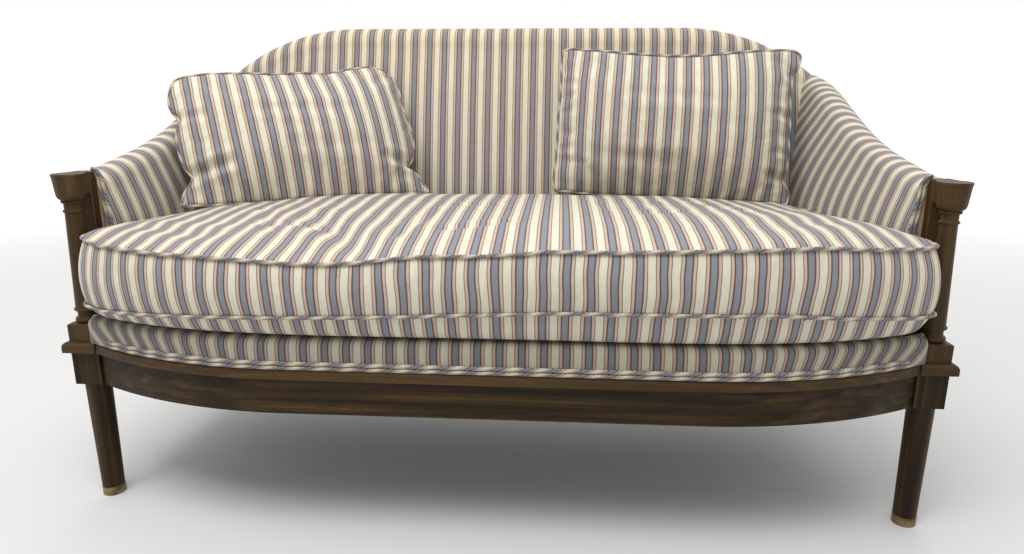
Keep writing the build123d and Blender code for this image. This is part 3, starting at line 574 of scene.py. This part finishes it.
back_slice = section("inside_back", (0, 0, 0), (1, 0, 0))
back_slice = begun(back_slice, back_slice[:, 2] * 4 + back_slice[:, 1], (0, 0, 1), 150)
back_top, back_foot = back_slice[:, 2].max(), back_slice[:, 2].min()
lift_share = (back_slice[:, 2] - back_foot) / (back_top - ROLL_HEIGHT - back_foot)
lift_share = np.clip(lift_share, 0, 1)
back_run = run_along(back_slice)
rings, maps = [], []
for x in np.linspace(-EAR_HALF + 0.001, EAR_HALF - 0.001, BACK_RINGS):
    fall = crest_fall(x) * lift_share
    ring = back_slice.copy()
    ring[:, 0] = x
    ring[:, 2] -= fall
    ring[:, 1] -= fall * tan(radians(RAKE_DEGREES))
    ring[:, 1] += 0.0012 * ripple(ring, 0.16, 3.0)
    rings.append(ring)
    maps.append(np.column_stack([np.full(len(back_run), x + BACK_PHASE), back_run]))
inside_back = ring_piece("inside_back_cloth", rings, maps, ticking_back)
adopt(inside_back, "settee", "inside_back", fill=0.75)

# %% [markdown]
# ## Inside arms
# Each arm pad is sliced from the CAD along its length. The slices start upright behind the stile
# and end at the rake of the back, and the stripes lean forward more and more towards the back.

# %% Inside arms
ARM_START, ARM_END, ARM_STEPS, ARM_POINTS = -0.2085, 0.235, 44, 110
ARM_SHOWN, ARM_OVER, ARM_STRIPE = 0.15, 0.42, 0.92
ARM_DIP = 0.005


def arm_slice(side, sign, y, tilt, count):
    """A slice of an arm pad, begun at its inner foot and going up first."""
    line = section("inside_arm_" + side, (0, y, 0.36), (0, cos(tilt), -sin(tilt)))
    return begun(line, line[:, 2] * 4 + line[:, 0] * sign, (0, 0, 1), count)


def between(ends, share):
    return ends[0] + (ends[1] - ends[0]) * share


def arm_pad(side, sign, lean, curl):
    """Lean in degrees and curl of the stripes are given at the post and at the back."""
    rings, maps = [], []
    for i in range(ARM_STEPS):
        share = i / (ARM_STEPS - 1)
        y = between((ARM_START, ARM_END), share)
        tilt = radians(RAKE_DEGREES) * ease(share, 0.25, 1.0)
        line = arm_slice(side, sign, y, tilt, ARM_POINTS)
        for _ in range(7):
            soft = 0.5 * ease(line[:, 2], 0.40, 0.46)[:, None]
            line = line + soft * (neighbours(line) - line)
        at_post = 1 - ease(y - ARM_START, 0.0, 0.09)
        line[:, 2] -= ARM_DIP * at_post * ease(line[:, 2], 0.50, 0.59)
        run = run_along(line)
        slant = radians(between(lean, share))
        bend = between(curl, ease(share, 0.0, 0.5))
        climb = np.clip(run - ARM_SHOWN, 0.0, ARM_OVER - ARM_SHOWN)
        y_round = np.append(line[:, 1], line[0, 1])
        across_it = y_round * cos(slant) + climb * sin(slant) + bend * climb**2
        rings.append(line)
        maps.append(np.column_stack([across_it * ARM_STRIPE, run]))
    made = ring_piece("inside_arm_cloth_" + side, rings, maps, ticking_cloth)
    adopt(made, "settee", "inside_arm_" + side, fill=0.7)


arm_pad("left", -1, (12, 15), (0.6, 0.9))
arm_pad("right", 1, (11, 15), (0.9, 1.8))

# %% [markdown]
# ## Outside covers, deck and dust cover
# The outer arms and the back are covered with flat panels of the same cloth, stretched tight.
# They are the CAD panels, divided finely and pushed out a little between their edges.

# %% Stretched panels
PANEL_CROWN = 0.004


def panel_from(name, material, across_axis, out, crown, largest=0.03):
    """A copy of a thin CAD panel with small faces, a slight crown and a cloth map."""
    work = merged(name)
    for _ in range(7):
        long = [e for e in work.edges if e.calc_length() > largest]
        if not long:
            break
        bmesh.ops.subdivide_edges(work, edges=long, cuts=1)
        bmesh.ops.triangulate(work, faces=[f for f in work.faces if len(f.verts) > 4])
    low, high = (np.array(corner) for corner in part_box(name))
    for v in work.verts:
        share = 1.0
        for k in range(3):
            if out[k] == 0:
                t = (v.co[k] - low[k]) / (high[k] - low[k])
                share *= max(0.0, 1 - (2 * t - 1) ** 2)
        v.co += Vector(out) * crown * sqrt(share)
    layer = work.loops.layers.uv.new("Cloth")
    for face in work.faces:
        face.smooth = True
        for loop in face.loops:
            loop[layer].uv = (loop.vert.co[across_axis], loop.vert.co.z)
    mesh = bpy.data.meshes.new(name + "_cloth")
    bmesh.ops.recalc_face_normals(work, faces=work.faces)
    work.to_mesh(mesh)
    area = sum(f.calc_area() for f in work.faces) / 2
    work.free()
    mesh.materials.append(material)
    return link_new(name + "_cloth", mesh), area, high - low


STRIPED = (ticking_cloth, "striped_cloth", "back_rail")
for name, axes, out, (material, slot, rest) in (
    ("outside_back", (0, 2), (0, 1, 0), STRIPED),
    ("outside_arm_left", (1, 2), (-1, 0, 0), STRIPED),
    ("outside_arm_right", (1, 2), (1, 0, 0), STRIPED),
    ("dust_cover", (0, 1), (0, 0, -1), (black_cloth, "black_cloth", "front_rail")),
):
    panel, area, size = panel_from(name, material, axes[0], out, PANEL_CROWN)
    adopt(panel, "settee", name, slot=slot)
    flat = tuple(round(float(size[k]), 3) for k in axes)
    print(name, "flat", flat, "area", round(area, 4))

# %% Seat deck
deck, _, deck_size = panel_from("seat_deck", lining, 0, (0, 0, 1), 0.002, 0.05)
adopt(deck, "settee", "seat_deck", slot="lining", fill=0.9)
print("deck", deck_size.round(3))

# %% [markdown]
# ## Welts
# A welt is a cord wrapped in a strip of the same cloth cut on the bias, so its stripes run
# diagonally. One geometry node tree turns any line of edges into such a cord.

# %% Welt tree
WELT_R, WELT_STEP = 0.0029, 0.005


def welt_tree(name, material):
    tree = bpy.data.node_groups.new(name, "GeometryNodeTree")
    for label, way, kind in (("Line", "INPUT", "Geometry"), ("Radius", "INPUT", "Float"),
                             ("Shift", "INPUT", "Float"), ("Welt", "OUTPUT", "Geometry")):
        tree.interface.new_socket(label, in_out=way, socket_type="NodeSocket" + kind)
    start = tree.nodes.new("NodeGroupInput").outputs
    end = tree.nodes.new("NodeGroupOutput")

    def geo(kind, inputs=(), **settings):
        return add(tree, "GeometryNode" + kind, inputs, **settings).outputs

    def captured(geometry, label, value):
        node = add(tree, "GeometryNodeCaptureAttribute", domain="POINT")
        node.capture_items.new("FLOAT", label)
        fill(tree, node, {"Geometry": geometry, label: value})
        return node.outputs

    curve = geo("MeshToCurve", {"Mesh": start["Line"]})[0]
    even = geo("ResampleCurve", {"Curve": curve, "Length": WELT_STEP}, mode="LENGTH")[0]
    path = captured(even, "Run", geo("SplineParameter")["Length"])
    circle = geo("CurvePrimitiveCircle", {"Resolution": 10, "Radius": start["Radius"]})["Curve"]
    axes = add(tree, "ShaderNodeSeparateXYZ", {0: geo("InputPosition")[0]}).outputs
    profile = captured(circle, "Side", axes["Y"])
    ends = {"Curve": path["Geometry"], "Profile Curve": profile["Geometry"]}
    tube = geo("CurveToMesh", {**ends, "Fill Caps": True})[0]
    bias = scaled(tree, profile["Side"], 2.2, path["Run"])
    bias = scaled(tree, calc(tree, "ADD", bias, start["Shift"]), 0.8)
    place = add(tree, "ShaderNodeCombineXYZ", {0: bias, 1: profile["Side"]}).outputs[0]
    values = {"Geometry": tube, "Name": "Cloth", "Value": place}
    named = geo("StoreNamedAttribute", values, data_type="FLOAT2", domain="CORNER")[0]
    real = geo("RealizeInstances", {0: geo("SetShadeSmooth", {0: named})[0]})[0]
    fill(tree, end, {0: geo("SetMaterial", {"Geometry": real, "Material": material})[0]})
    return tree


welt_nodes = welt_tree("bias_welt", ticking_bias)


def welt(name, body, lines, radius=WELT_R, shift=0.0):
    """One mesh of striped cords along lines that are given as (points, closed)."""
    points, edges = [], []
    for line, closed in lines:
        first, last = len(points), len(points) + len(line) - 1
        points += [tuple(p) for p in line]
        edges += [(i, i + 1) for i in range(first, last)]
        if closed:
            edges.append((last, first))
    path = bpy.data.meshes.new(name + "_path")
    path.from_pydata(points, edges, [])
    holder = link_new(path.name, path)
    maker = holder.modifiers.new("welt", "NODES")
    maker.node_group = welt_nodes
    values = {"Radius": radius, "Shift": shift}
    for item in welt_nodes.interface.items_tree:
        if item.name in values:
            maker[item.identifier] = values[item.name]
    view = bpy.context.evaluated_depsgraph_get()
    mesh = bpy.data.meshes.new_from_object(holder.evaluated_get(view), depsgraph=view)
    mesh.name = name
    bpy.data.objects.remove(holder)
    adopt(link_new(name, mesh), body)
    print(name, len(mesh.polygons), "faces")


# %% [markdown]
# ## Front border
# The padded border follows the bowed rail. It is swept from one profile along the bow, its ends
# are rounded towards the posts, and its stripes fan outwards at both ends as in the photograph.

# %% Front border
BOW_FLAT, BOW_R, RAIL_FACE = 0.335, 0.7326, -0.375
BORDER_HALF, BORDER_DEEP, BORDER_LOW, BORDER_HIGH = 0.708, 0.051, 0.3085, 0.3555
BORDER_PHASE, BORDER_FAN = 0.0148, tan(radians(40.0))
END_ROUND, END_PUFF = 0.017, 0.010
PROFILE_DEPTH = np.array([51, 30, 16, 10, 6, 3, 1, 0, -1, -1, 0, 1, 3, 51]) / 1000
PROFILE_HEIGHT = [1, 1, 0.99, 0.965, 0.92, 0.85, 0.75, 0.62, 0.48, 0.34, 0.2, 0.08, 0, 0]


def bow(x, out):
    run = np.maximum(np.abs(x) - BOW_FLAT, 0.0)
    radius = BOW_R + out
    return RAIL_FACE - out + radius - np.sqrt(radius**2 - run**2)


def bow_line(out, half, count):
    """Points along the bowed front, evenly spaced, and the distance of each from the middle."""
    x = np.linspace(-half, half, 1200)
    line = spaced(np.column_stack([x, bow(x, out), 0 * x]), count, closed=False)
    run = run_along(line, closed=False)
    return line, run - run[-1] / 2


border_line, border_run = bow_line(0.006, BORDER_HALF, 141)
inward = left_of(unit(np.gradient(border_line, axis=0)))
rings, maps = [], []
for base, inner, s in zip(border_line, inward, border_run):
    from_end = abs(border_run[-1]) - abs(s)
    cut = 1 - min(from_end / END_ROUND, 1.0)
    squeeze = END_ROUND * (1 - sqrt(max(0.0, 1 - cut**2)))
    puff = END_PUFF * ease(-from_end, -0.075, -0.010)
    deepest = BORDER_DEEP - 0.040 * (puff > 0.004)
    deep = np.clip(np.maximum(PROFILE_DEPTH, squeeze) - puff, None, deepest)
    ring = base + inner * deep[:, None]
    ring[:, 2] = BORDER_LOW + (BORDER_HIGH - BORDER_LOW) * np.array(PROFILE_HEIGHT)
    fan = BORDER_FAN * np.sign(s) * ease(abs(s), 0.33, 0.72)
    z = np.append(ring[:, 2], ring[0, 2])
    rings.append(ring)
    across_it = s + BORDER_PHASE - fan * (z - BORDER_HIGH)
    maps.append(np.column_stack([across_it, -run_along(ring)]))
border = ring_piece("front_border_cloth", rings, maps, ticking_border)
adopt(border, "settee", "front_edge_roll", fill=0.8)

# %% [markdown]
# ## Seat cushion
# The loose cushion is a box cushion: a top and a bottom panel sewn to a boxing strip with a welt
# along each seam. The panels are triangulated inside the CAD plan, the seams take the sagging
# heights measured on the photograph, and Cloth with pressure fills the panels between the seams.

# %% Cushion outline and seam heights, pairs of X and Z in millimetres
FRONT_TOP = [
    -720, 500, -677, 500, -643, 493, -589, 492, -515, 488, -449, 489, -383, 487, -305, 483,
    -236, 482, -183, 488, -104, 496, -26, 498, 38, 502, 88, 506, 167, 507, 266, 510, 362, 513,
    460, 514, 566, 512, 645, 507, 700, 507,
]
FRONT_LOW = [
    -719, 385, -643, 381, -584, 385, -482, 390, -395, 394, -314, 396, -135, 402, -55, 406, 24, 409,
    103, 413, 305, 414, 420, 414, 507, 409, 583, 403, 669, 396, 712, 396,
]
REAR_TOP, REAR_DROP, REAR_LOW, UNDERSIDE = 0.503, 0.012, 0.400, 0.3565
CUSHION_HALF, CORNER_TUCK = 0.702, 0.017


def front_height(x, seam):
    return np.interp(x, *np.reshape(seam, (-1, 2)).T / 1000)


def rear_height(x):
    """The rear seam of the top panel, which drops towards both ends."""
    return REAR_TOP - REAR_DROP * ease(np.abs(x), 0.30, 0.66)


outline = section("seat_cushion", (0, 0, 0.4965), (0, 0, 1))
outline = begun(outline, outline[:, 1] + np.abs(outline[:, 0]) * 0.2, (1, 0, 0), 420)
for step in range(26):
    share = np.full(len(outline), 0.5) if step < 14 else 0.5 * (outline[:, 0] < 0)
    outline += (neighbours(outline) - outline) * share[:, None]
outline_run = run_along(outline)
girth = outline_run[-1]
signed_run = np.where(outline_run[:-1] > girth / 2, outline_run[:-1] - girth, outline_run[:-1])
outward = -left_of(unit(np.roll(outline, -1, 0) - np.roll(outline, 1, 0)))
frontness = ease(-outline[:, 1], 0.16, 0.27)
outline[:, 0] *= CUSHION_HALF / np.abs(outline[:, 0]).max()
seam_x = outline[:, 0]
top_seam, low_seam = outline.copy(), outline.copy()
top_seam[:, 0] *= 1 - CORNER_TUCK * frontness * ease(np.abs(seam_x), 0.58, 0.70)
rear_top = rear_height(seam_x)
top_seam[:, 2] = rear_top + frontness * (front_height(seam_x, FRONT_TOP) - rear_top)
low_seam[:, 2] = REAR_LOW + frontness * (front_height(seam_x, FRONT_LOW) - REAR_LOW)
print("cushion girth", round(girth, 3), "plan", outline.min(0).round(3), outline.max(0).round(3))

# %% Panels of the cushion
GRID_PITCH = 0.0125
CROWN, CROWN_LOSS, CROWN_EDGE, BELLY_EDGE = 0.024, 0.006, 0.19, 0.040


def edge_distance(points, loop):
    """Distance in plan from each point to the nearest point of the line."""
    return np.min(np.linalg.norm(points[:, None, :2] - loop[None, :, :2], axis=2), axis=1)


def inside_points(loop, pitch, clear):
    """A staggered grid of points inside a closed plan line, kept clear of it."""
    low, high = loop.min(0), loop.max(0)
    rows = enumerate(np.arange(low[1], high[1], pitch * 0.866))
    grid = np.array([(x, y) for row, y in rows
                     for x in np.arange(low[0] + (row % 2) * pitch / 2, high[0], pitch)])
    inside = np.zeros(len(grid), bool)
    for a, b in zip(loop, np.roll(loop, -1, 0)):
        crosses = (a[1] > grid[:, 1]) != (b[1] > grid[:, 1])
        with np.errstate(divide="ignore", invalid="ignore"):
            at = (b[0] - a[0]) * (grid[:, 1] - a[1]) / (b[1] - a[1]) + a[0]
        inside ^= crosses & (grid[:, 0] < at)
    grid = grid[inside]
    return grid[edge_distance(grid, loop) > clear]


def panel_faces(loop, grid):
    """Triangles over the loop's points followed by the grid's points."""
    every = [Vector(p[:2]) for p in loop] + [Vector(p) for p in grid]
    edges = [(i, (i + 1) % len(loop)) for i in range(len(loop))]
    return [tuple(f) for f in delaunay_2d_cdt(every, edges, [], 1, 1e-6)[2]]


def arch(share):
    return np.sqrt(1 - (1 - np.clip(share, 0, 1)) ** 2)


grid = inside_points(outline, GRID_PITCH, GRID_PITCH * 0.6)
triangles = panel_faces(outline, grid)
reach = edge_distance(grid, outline)
grid_x, grid_y = grid.T
front_y = bow(np.minimum(np.abs(grid_x), 0.69), 0.017)
depth_share = np.clip((grid_y - front_y) / (outline[:, 1].max() - front_y), 0, 1)
front_z, rear_z = front_height(grid_x, FRONT_TOP), rear_height(grid_x)
seam_z = front_z + (rear_z - front_z) * ease(depth_share, 0.1, 0.8)
crown = CROWN - CROWN_LOSS * (grid_x / 0.69) ** 2
rise = np.sqrt(np.clip(1 - (2 * depth_share - 1) ** 2, 0, 1))
top_grid = np.column_stack([grid, seam_z + crown * np.minimum(rise, arch(reach / CROWN_EDGE))])
low_z = front_height(grid_x, FRONT_LOW) * (1 - depth_share) + REAR_LOW * depth_share
low_grid = np.column_stack([grid, low_z + (UNDERSIDE - low_z) * arch(reach / BELLY_EDGE)])
print("grid", len(grid), "triangles", len(triangles))

# %% Boxing strip and the whole cushion
BOX_ROWS, SEAT_PHASE = 9, 0.0184


def wobble(across_it, along_it):
    """Sideways drift of the stripes where the boxing is gathered along its seams."""
    return across_it + 0.0030 * noise.noise(Vector((across_it / 0.06, along_it / 0.045, 3.0)))


rows = []
for r in range(1, BOX_ROWS):
    t = r / BOX_ROWS
    bulge = (0.003 + 0.007 * frontness) * 4 * t * (1 - t)
    rows.append(low_seam + (top_seam - low_seam) * t + outward * bulge[:, None])
points = np.vstack([top_seam, top_grid, low_seam, low_grid] + rows)
count = len(outline)
low_first = count + len(grid)
faces, uv = [], []
for triangle in triangles:
    for corners in (triangle, tuple(low_first + i for i in reversed(triangle))):
        faces.append(corners)
        uv += [(points[i, 0] + SEAT_PHASE, points[i, 1]) for i in corners]
row_starts = [low_first, *(2 * low_first + r * count for r in range(BOX_ROWS - 1)), 0]
box_shift = outline[0, 0] + SEAT_PHASE
for lower, upper in zip(row_starts, row_starts[1:]):
    for c in range(count):
        d = (c + 1) % count
        near, far = signed_run[c], signed_run[d]
        if abs(far - near) >= 0.1:
            far = near + girth / count
        corners = (lower + c, lower + d, upper + d, upper + c)
        faces.append(corners)
        for i, run in zip(corners, (near, far, far, near)):
            uv.append((wobble(run + box_shift, points[i, 2]), points[i, 2]))
cushion = make_object("seat_cushion_cloth", points, faces, uv, ticking_soft)

# %% Helpers that fill and crease
CLOTH = {
    "quality": 6, "mass": 0.25, "tension_stiffness": 15.0, "compression_stiffness": 15.0,
    "shear_stiffness": 5.0, "air_damping": 1.5, "use_pressure": True, "vertex_group_mass": "pin",
}


def inflate(piece, pins, pressure, frames, cap, shrink=0.0, bending=0.5):
    """Run Cloth with pressure, keep pinned points, limit the movement and return the points."""
    rest = np.array([v.co[:] for v in piece.data.vertices])
    piece.vertex_groups.new(name="pin").add([int(i) for i in pins], 1.0, "REPLACE")
    cloth = piece.modifiers.new("cloth", "CLOTH")
    own = {"bending_stiffness": bending, "uniform_pressure_force": pressure,
           "shrink_min": shrink, "shrink_max": shrink}
    for key, value in {**CLOTH, **own}.items():
        setattr(cloth.settings, key, value)
    cloth.settings.effector_weights.gravity = 0.0
    cloth.point_cache.frame_start, cloth.point_cache.frame_end = 1, frames
    for step in range(1, frames + 1):
        scene.frame_set(step)
    view = bpy.context.evaluated_depsgraph_get()
    moved = np.array([v.co[:] for v in piece.evaluated_get(view).data.vertices])
    piece.modifiers.remove(cloth)
    piece.vertex_groups.clear()
    scene.frame_set(1)
    shift = moved - rest
    far = np.linalg.norm(shift, axis=1)
    shift *= np.minimum(1.0, cap / np.maximum(far, 1e-9))[:, None]
    print(piece.name, "moved at most", round(float(far.max()), 4))
    return rest + shift


def crease(points, lines):
    """Depth of soft valleys along lines seen from above, each with a low ridge on either side.
    A line is given in millimetres, as its start and end in plan, its depth and its width."""
    depth = np.zeros(len(points))
    for *ends, deep, wide in np.array(lines) / 1000:
        start, end = np.reshape(ends, (2, 2))
        way = end - start
        share = np.clip(((points[:, :2] - start) @ way) / (way @ way), 0, 1)
        off = np.linalg.norm(points[:, :2] - start - share[:, None] * way, axis=1) / wide
        fade = np.sin(pi * np.clip(0.12 + 0.88 * share, 0, 1)) ** 0.5
        depth += deep * fade * (0.45 * np.exp(-((off - 1.9) ** 2)) - np.exp(-(off**2)))
    return depth


def settle(piece, points):
    """Give a filled piece its last points and smooth it with one subdivision."""
    piece.data.vertices.foreach_set("co", np.asarray(points, dtype=np.float32).ravel())
    piece.data.update()
    finer = piece.modifiers.new("finer", "SUBSURF")
    finer.levels = finer.render_levels = 1


# %% Fill the cushion with Cloth
DENTS = [
    (-330, -160, -170, -400, 8, 26), (-150, -300, -112, -120, 6, 10), (-105, -98, 70, -56, 5, 9),
    (-85, -276, 125, -217, 6, 10), (125, -217, 215, -188, 5, 9), (160, 30, 215, -180, 5, 9),
    (300, 20, 235, -185, 5, 9), (235, -187, 340, -155, 5, 9), (365, 20, 400, -105, 5, 9),
    (400, -105, 460, -150, 5, 9), (-420, -220, -260, -240, 4, 10), (-450, -100, -360, -300, 4, 12),
    (400, -300, 600, -200, 3, 30), (-620, -240, -450, -300, 4, 20),
]
WELT_OUT = 0.003

pins = [*range(count), *range(low_first, low_first + count)]
pins += list(low_first + count + np.nonzero(reach > BELLY_EDGE * 0.9)[0])
filled = inflate(cushion, pins, 0.35, 12, 0.003)
on_top = ease(filled[:, 2], 0.470, 0.505)
filled[:, 2] += on_top * crease(filled, DENTS)
filled[:, 2] += on_top * (0.0022 * ripple(filled, 0.11, 5.0) + 0.0016 * ripple(filled, 0.035, 6.0))
boxed = ease(-filled[:, 1], 0.20, 0.30) * ease(0.5 - filled[:, 2], 0.0, 0.02)
boxed *= ease(filled[:, 2], 0.39, 0.42)
tall = filled * np.array([1.0, 1.0, 0.30])
filled[:, 1] -= boxed * (0.0022 * ripple(tall, 0.045, 7.0) + 0.0012 * ripple(tall, 0.022, 8.0))
settle(cushion, filled)
adopt(cushion, "seat_cushion_body", "seat_cushion", fill=0.8)
seams = [filled[first:first + count] + outward * WELT_OUT for first in (0, low_first)]
welt("cushion_welt", "seat_cushion_body", [(seam, True) for seam in seams])

# %% [markdown]
# ## Pillows
# Each pillow is two sheets sewn together at the edge and stuffed. The seam is laid along the
# outline seen in the photograph, Cloth with a little pressure and slack fills the case, and the
# deeper folds at the drawn-in places are pressed in afterwards.

# %% Pillow outlines, pairs of X and Y in millimetres from the middle of each pillow
LEFT_SEAM = {
    "top": [
        -240, 116, -231, 122, -209, 128, -179, 132, -135, 133, -99, 133, -55, 130, -18, 130,
        25, 131, 67, 128, 97, 133, 133, 139, 169, 143, 202, 132, 224, 109,
    ],
    "right": [
        224, 109, 227, 80, 227, 41, 235, -4, 238, -43, 232, -81, 222, -99, 210, -109, 224, -119,
        238, -143, 249, -170,
    ],
    "bottom": [
        -251, -158, -206, -162, -152, -163, -80, -164, 9, -165, 78, -166, 149, -168, 222, -171,
        249, -170,
    ],
    "left": [
        -240, 116, -250, 90, -254, 65, -249, 45, -236, 27, -242, 9, -247, -15, -245, -45, -238, -79,
        -223, -102, -234, -118, -247, -138, -251, -158,
    ],
}
RIGHT_SEAM = {
    "top": [
        -251, 157, -235, 162, -206, 161, -157, 158, -109, 155, -61, 153, -13, 151, 34, 153, 80, 157,
        126, 162, 171, 166, 217, 168, 239, 168, 252, 158,
    ],
    "right": [
        252, 158, 253, 149, 249, 132, 239, 107, 238, 88, 238, 55, 241, 18, 241, -20, 243, -58,
        240, -85, 232, -106, 243, -124, 251, -140, 245, -158,
    ],
    "bottom": [
        -252, -150, -203, -153, -128, -155, -36, -156, 54, -157, 143, -157, 213, -159, 245, -158,
    ],
    "left": [
        -251, 157, -253, 138, -252, 109, -251, 65, -254, 21, -253, -28, -253, -77, -256, -117,
        -255, -144, -252, -150,
    ],
}
CASE_W, CASE_H, CASE_T = 0.515, 0.325, 0.106
CASE_NX, CASE_NY, PILLOW_CORD = 76, 48, 0.0028


def seam_side(line, count, smoothing):
    """One side of a seam as evenly spaced points in metres; smoothing keeps both ends."""
    flat = np.column_stack([np.reshape(line, (-1, 2)) / 1000, np.zeros(len(line) // 2)])
    side = spaced(flat, count + 1, closed=False)
    for _ in range(smoothing):
        side[1:-1] += ((side[:-2] + side[2:]) / 2 - side[1:-1]) * 0.5
    return side[:, :2]


def seam_patch(seam, smoothing):
    """A grid of points between the four sides of a seam, as rows from bottom to top."""
    top, low = (seam_side(seam[key], CASE_NX, smoothing) for key in ("top", "bottom"))
    left, right = (seam_side(seam[key], CASE_NY, smoothing)[::-1] for key in ("left", "right"))
    u = np.linspace(0, 1, CASE_NX + 1)[None, :, None]
    v = np.linspace(0, 1, CASE_NY + 1)[:, None, None]
    ruled = (1 - v) * low[None] + v * top[None] + (1 - u) * left[:, None] + u * right[:, None]
    corners = (1 - u) * ((1 - v) * low[0] + v * top[0]) + u * ((1 - v) * low[-1] + v * top[-1])
    return ruled - corners


# %% Pillow cases


def pillow_case(name, seam, stripe, seed):
    """Two domed sheets that share the seam; returns the piece, its edge and the front's points.
    Stripe holds the scale across, the slant and the shift of the stripes."""
    u = np.linspace(0, 1, CASE_NX + 1)[None, :]
    v = np.linspace(0, 1, CASE_NY + 1)[:, None]
    to_side = np.minimum(u, 1 - u) * CASE_W + 0 * v
    to_end = np.minimum(v, 1 - v) * CASE_H + 0 * u
    near = np.exp(-np.minimum(to_side, to_end) / 0.030)[:, :, None]
    plan = seam_patch(seam, 60)
    plan += (seam_patch(seam, 1) - plan) * near
    full = [1 - (1 - np.clip(d / 0.150, 0, 1)) ** 2 for d in (to_side, to_end)]
    dome = CASE_T / 2 * (full[0] * full[1]) ** 0.70
    points, sheets, clear = [], ({}, {}), []
    for j, i in np.ndindex(dome.shape):
        for sheet, way in zip(sheets, (1, -1)):
            if way < 0 and (i in (0, CASE_NX) or j in (0, CASE_NY)):
                sheet[i, j] = sheets[0][i, j]
                continue
            sheet[i, j] = len(points)
            points.append((*plan[j, i], way * dome[j, i]))
            clear.append((to_side[j, i], to_end[j, i]))
    points, clear = np.array(points), np.array(clear)
    thick = np.abs(points[:, 2]) / (CASE_T / 2)
    wave = 0.0030 * ripple(points, 0.065, seed) + 0.0018 * ripple(points, 0.028, seed + 1)
    for k, deep, fade, squash, size in (
        (0, 0.0042, 0.034, (0.28, 1.0, 0.5), 0.013), (1, 0.0030, 0.026, (1.0, 0.28, 0.5), 0.014),
    ):
        wave += deep * np.exp(-clear[:, k] / fade) * ripple(points * squash, size, seed + 2 + k)
    points[:, 2] += np.sign(points[:, 2]) * wave * np.minimum(thick * 2.5, 1.0)
    faces, uv = [], []
    for j, i in np.ndindex(CASE_NY, CASE_NX):
        square = [(i, j), (i + 1, j), (i + 1, j + 1), (i, j + 1)]
        for sheet, order in zip(sheets, (square, square[::-1])):
            faces.append(tuple(sheet[k] for k in order))
            spots = [plan[j2, i2] for i2, j2 in order]
            uv += [(spot @ stripe[:2] + stripe[2], spot[1]) for spot in spots]
    edge = [(i, 0) for i in range(CASE_NX)] + [(CASE_NX, j) for j in range(CASE_NY)]
    edge += [(i, CASE_NY) for i in range(CASE_NX, 0, -1)] + [(0, j) for j in range(CASE_NY, 0, -1)]
    piece = make_object(name, points, faces, uv, ticking_soft)
    return piece, [sheets[0][k] for k in edge], list(sheets[0].values())


def make_pillow(side, seam, pose, folds, stripe, seed):
    """Pose holds the pillow's turn, its lean and its tilt in its own plane, in degrees."""
    turn, lean, tilt = pose
    piece, edge, front = pillow_case("pillow_cloth_" + side, seam, stripe, seed)
    soft = inflate(piece, edge, 1.6, 16, 0.010, shrink=-0.02, bending=0.3)
    inner = np.setdiff1d(front, edge)
    soft[inner, 2] += crease(soft[inner], folds)
    low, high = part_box("pillow_" + side)
    place = Matrix.Translation((Vector(low) + Vector(high)) / 2)
    for degrees, axis in ((turn, "Z"), (90 - lean, "X"), (tilt, "Z")):
        place = place @ Matrix.Rotation(radians(degrees), 4, axis)
    place = np.array(place)
    placed = soft @ place[:3, :3].T + place[:3, 3]
    settle(piece, placed)
    body = "pillow_%s_body" % side
    adopt(piece, body, "pillow_" + side, fill=0.6)
    welt("pillow_welt_" + side, body, [(placed[edge], True)], PILLOW_CORD)
    print(side, "pillow", (soft.max(0) - soft.min(0)).round(3))


LEFT_FOLDS = [
    (-225, -102, -135, -88, 12, 10), (-236, 27, -180, 14, 8, 8), (212, -109, 150, -93, 10, 9),
    (140, 130, 158, 80, 6, 8), (-110, 18, 110, 12, 5, 13), (200, 110, 140, 65, 5, 10),
    (-190, 105, -100, 40, 5, 14), (-50, -60, 140, -75, 4, 14),
]
RIGHT_FOLDS = [
    (243, 107, 195, 150, 11, 9), (-250, 85, -205, 78, 6, 7), (-252, 20, -215, 22, 5, 6),
    (-252, -60, -210, -55, 6, 7), (240, 30, 200, 28, 6, 7), (243, -55, 205, -50, 6, 7),
    (232, -106, 185, -98, 9, 8), (-215, 150, -120, 80, 6, 14), (-100, 60, 110, 48, 5, 13),
    (-160, -70, 20, -85, 4, 13),
]
make_pillow("left", LEFT_SEAM, (25, 30, 2.0), LEFT_FOLDS, (0.98, 0.07, -0.0034), 11.0)
make_pillow("right", RIGHT_SEAM, (-4, 12, -1.5), RIGHT_FOLDS, (0.955, 0.0, 0.0150), 17.0)

# %% [markdown]
# ## Double welts on the frame
# Two cords side by side cover the raw edge of the cloth along the bottom of the border, round its
# ends, and up the front of each arm beside the stile.

# %% Double welts
BORDER_CORD, ARM_CORD, ARM_CORD_END = 0.0034, 0.0031, 0.713

cords = []
for lift in (0.0, 0.0071):
    line, _ = bow_line(0.0075, BORDER_HALF - 0.006, 150)
    line[:, 2] = BORDER_LOW + 0.001 + lift
    cords.append((line, False))
welt("border_welt", "settee", cords, BORDER_CORD)

for side, sign in (("left", -1), ("right", 1)):
    line = arm_slice(side, sign, ARM_START + 0.0005, 0.0, 400)
    past_top = np.nonzero((line[:, 2] > 0.5) & (line[:, 0] * sign > ARM_CORD_END))[0]
    shown = line[: past_top[0]]
    way = unit(np.gradient(shown, axis=0))
    inner = np.column_stack([way[:, 2], 0 * way[:, 1], -way[:, 0]])
    inner *= np.sign(inner[len(way) // 4, 0] * sign)
    cords = []
    for step in (0.0026, 0.0088):
        cord = shown + inner * step
        cord[:, 1] = ARM_START - 0.0012
        cords.append((cord, False))
    welt("arm_welt_" + side, "settee", cords, ARM_CORD, 0.012)
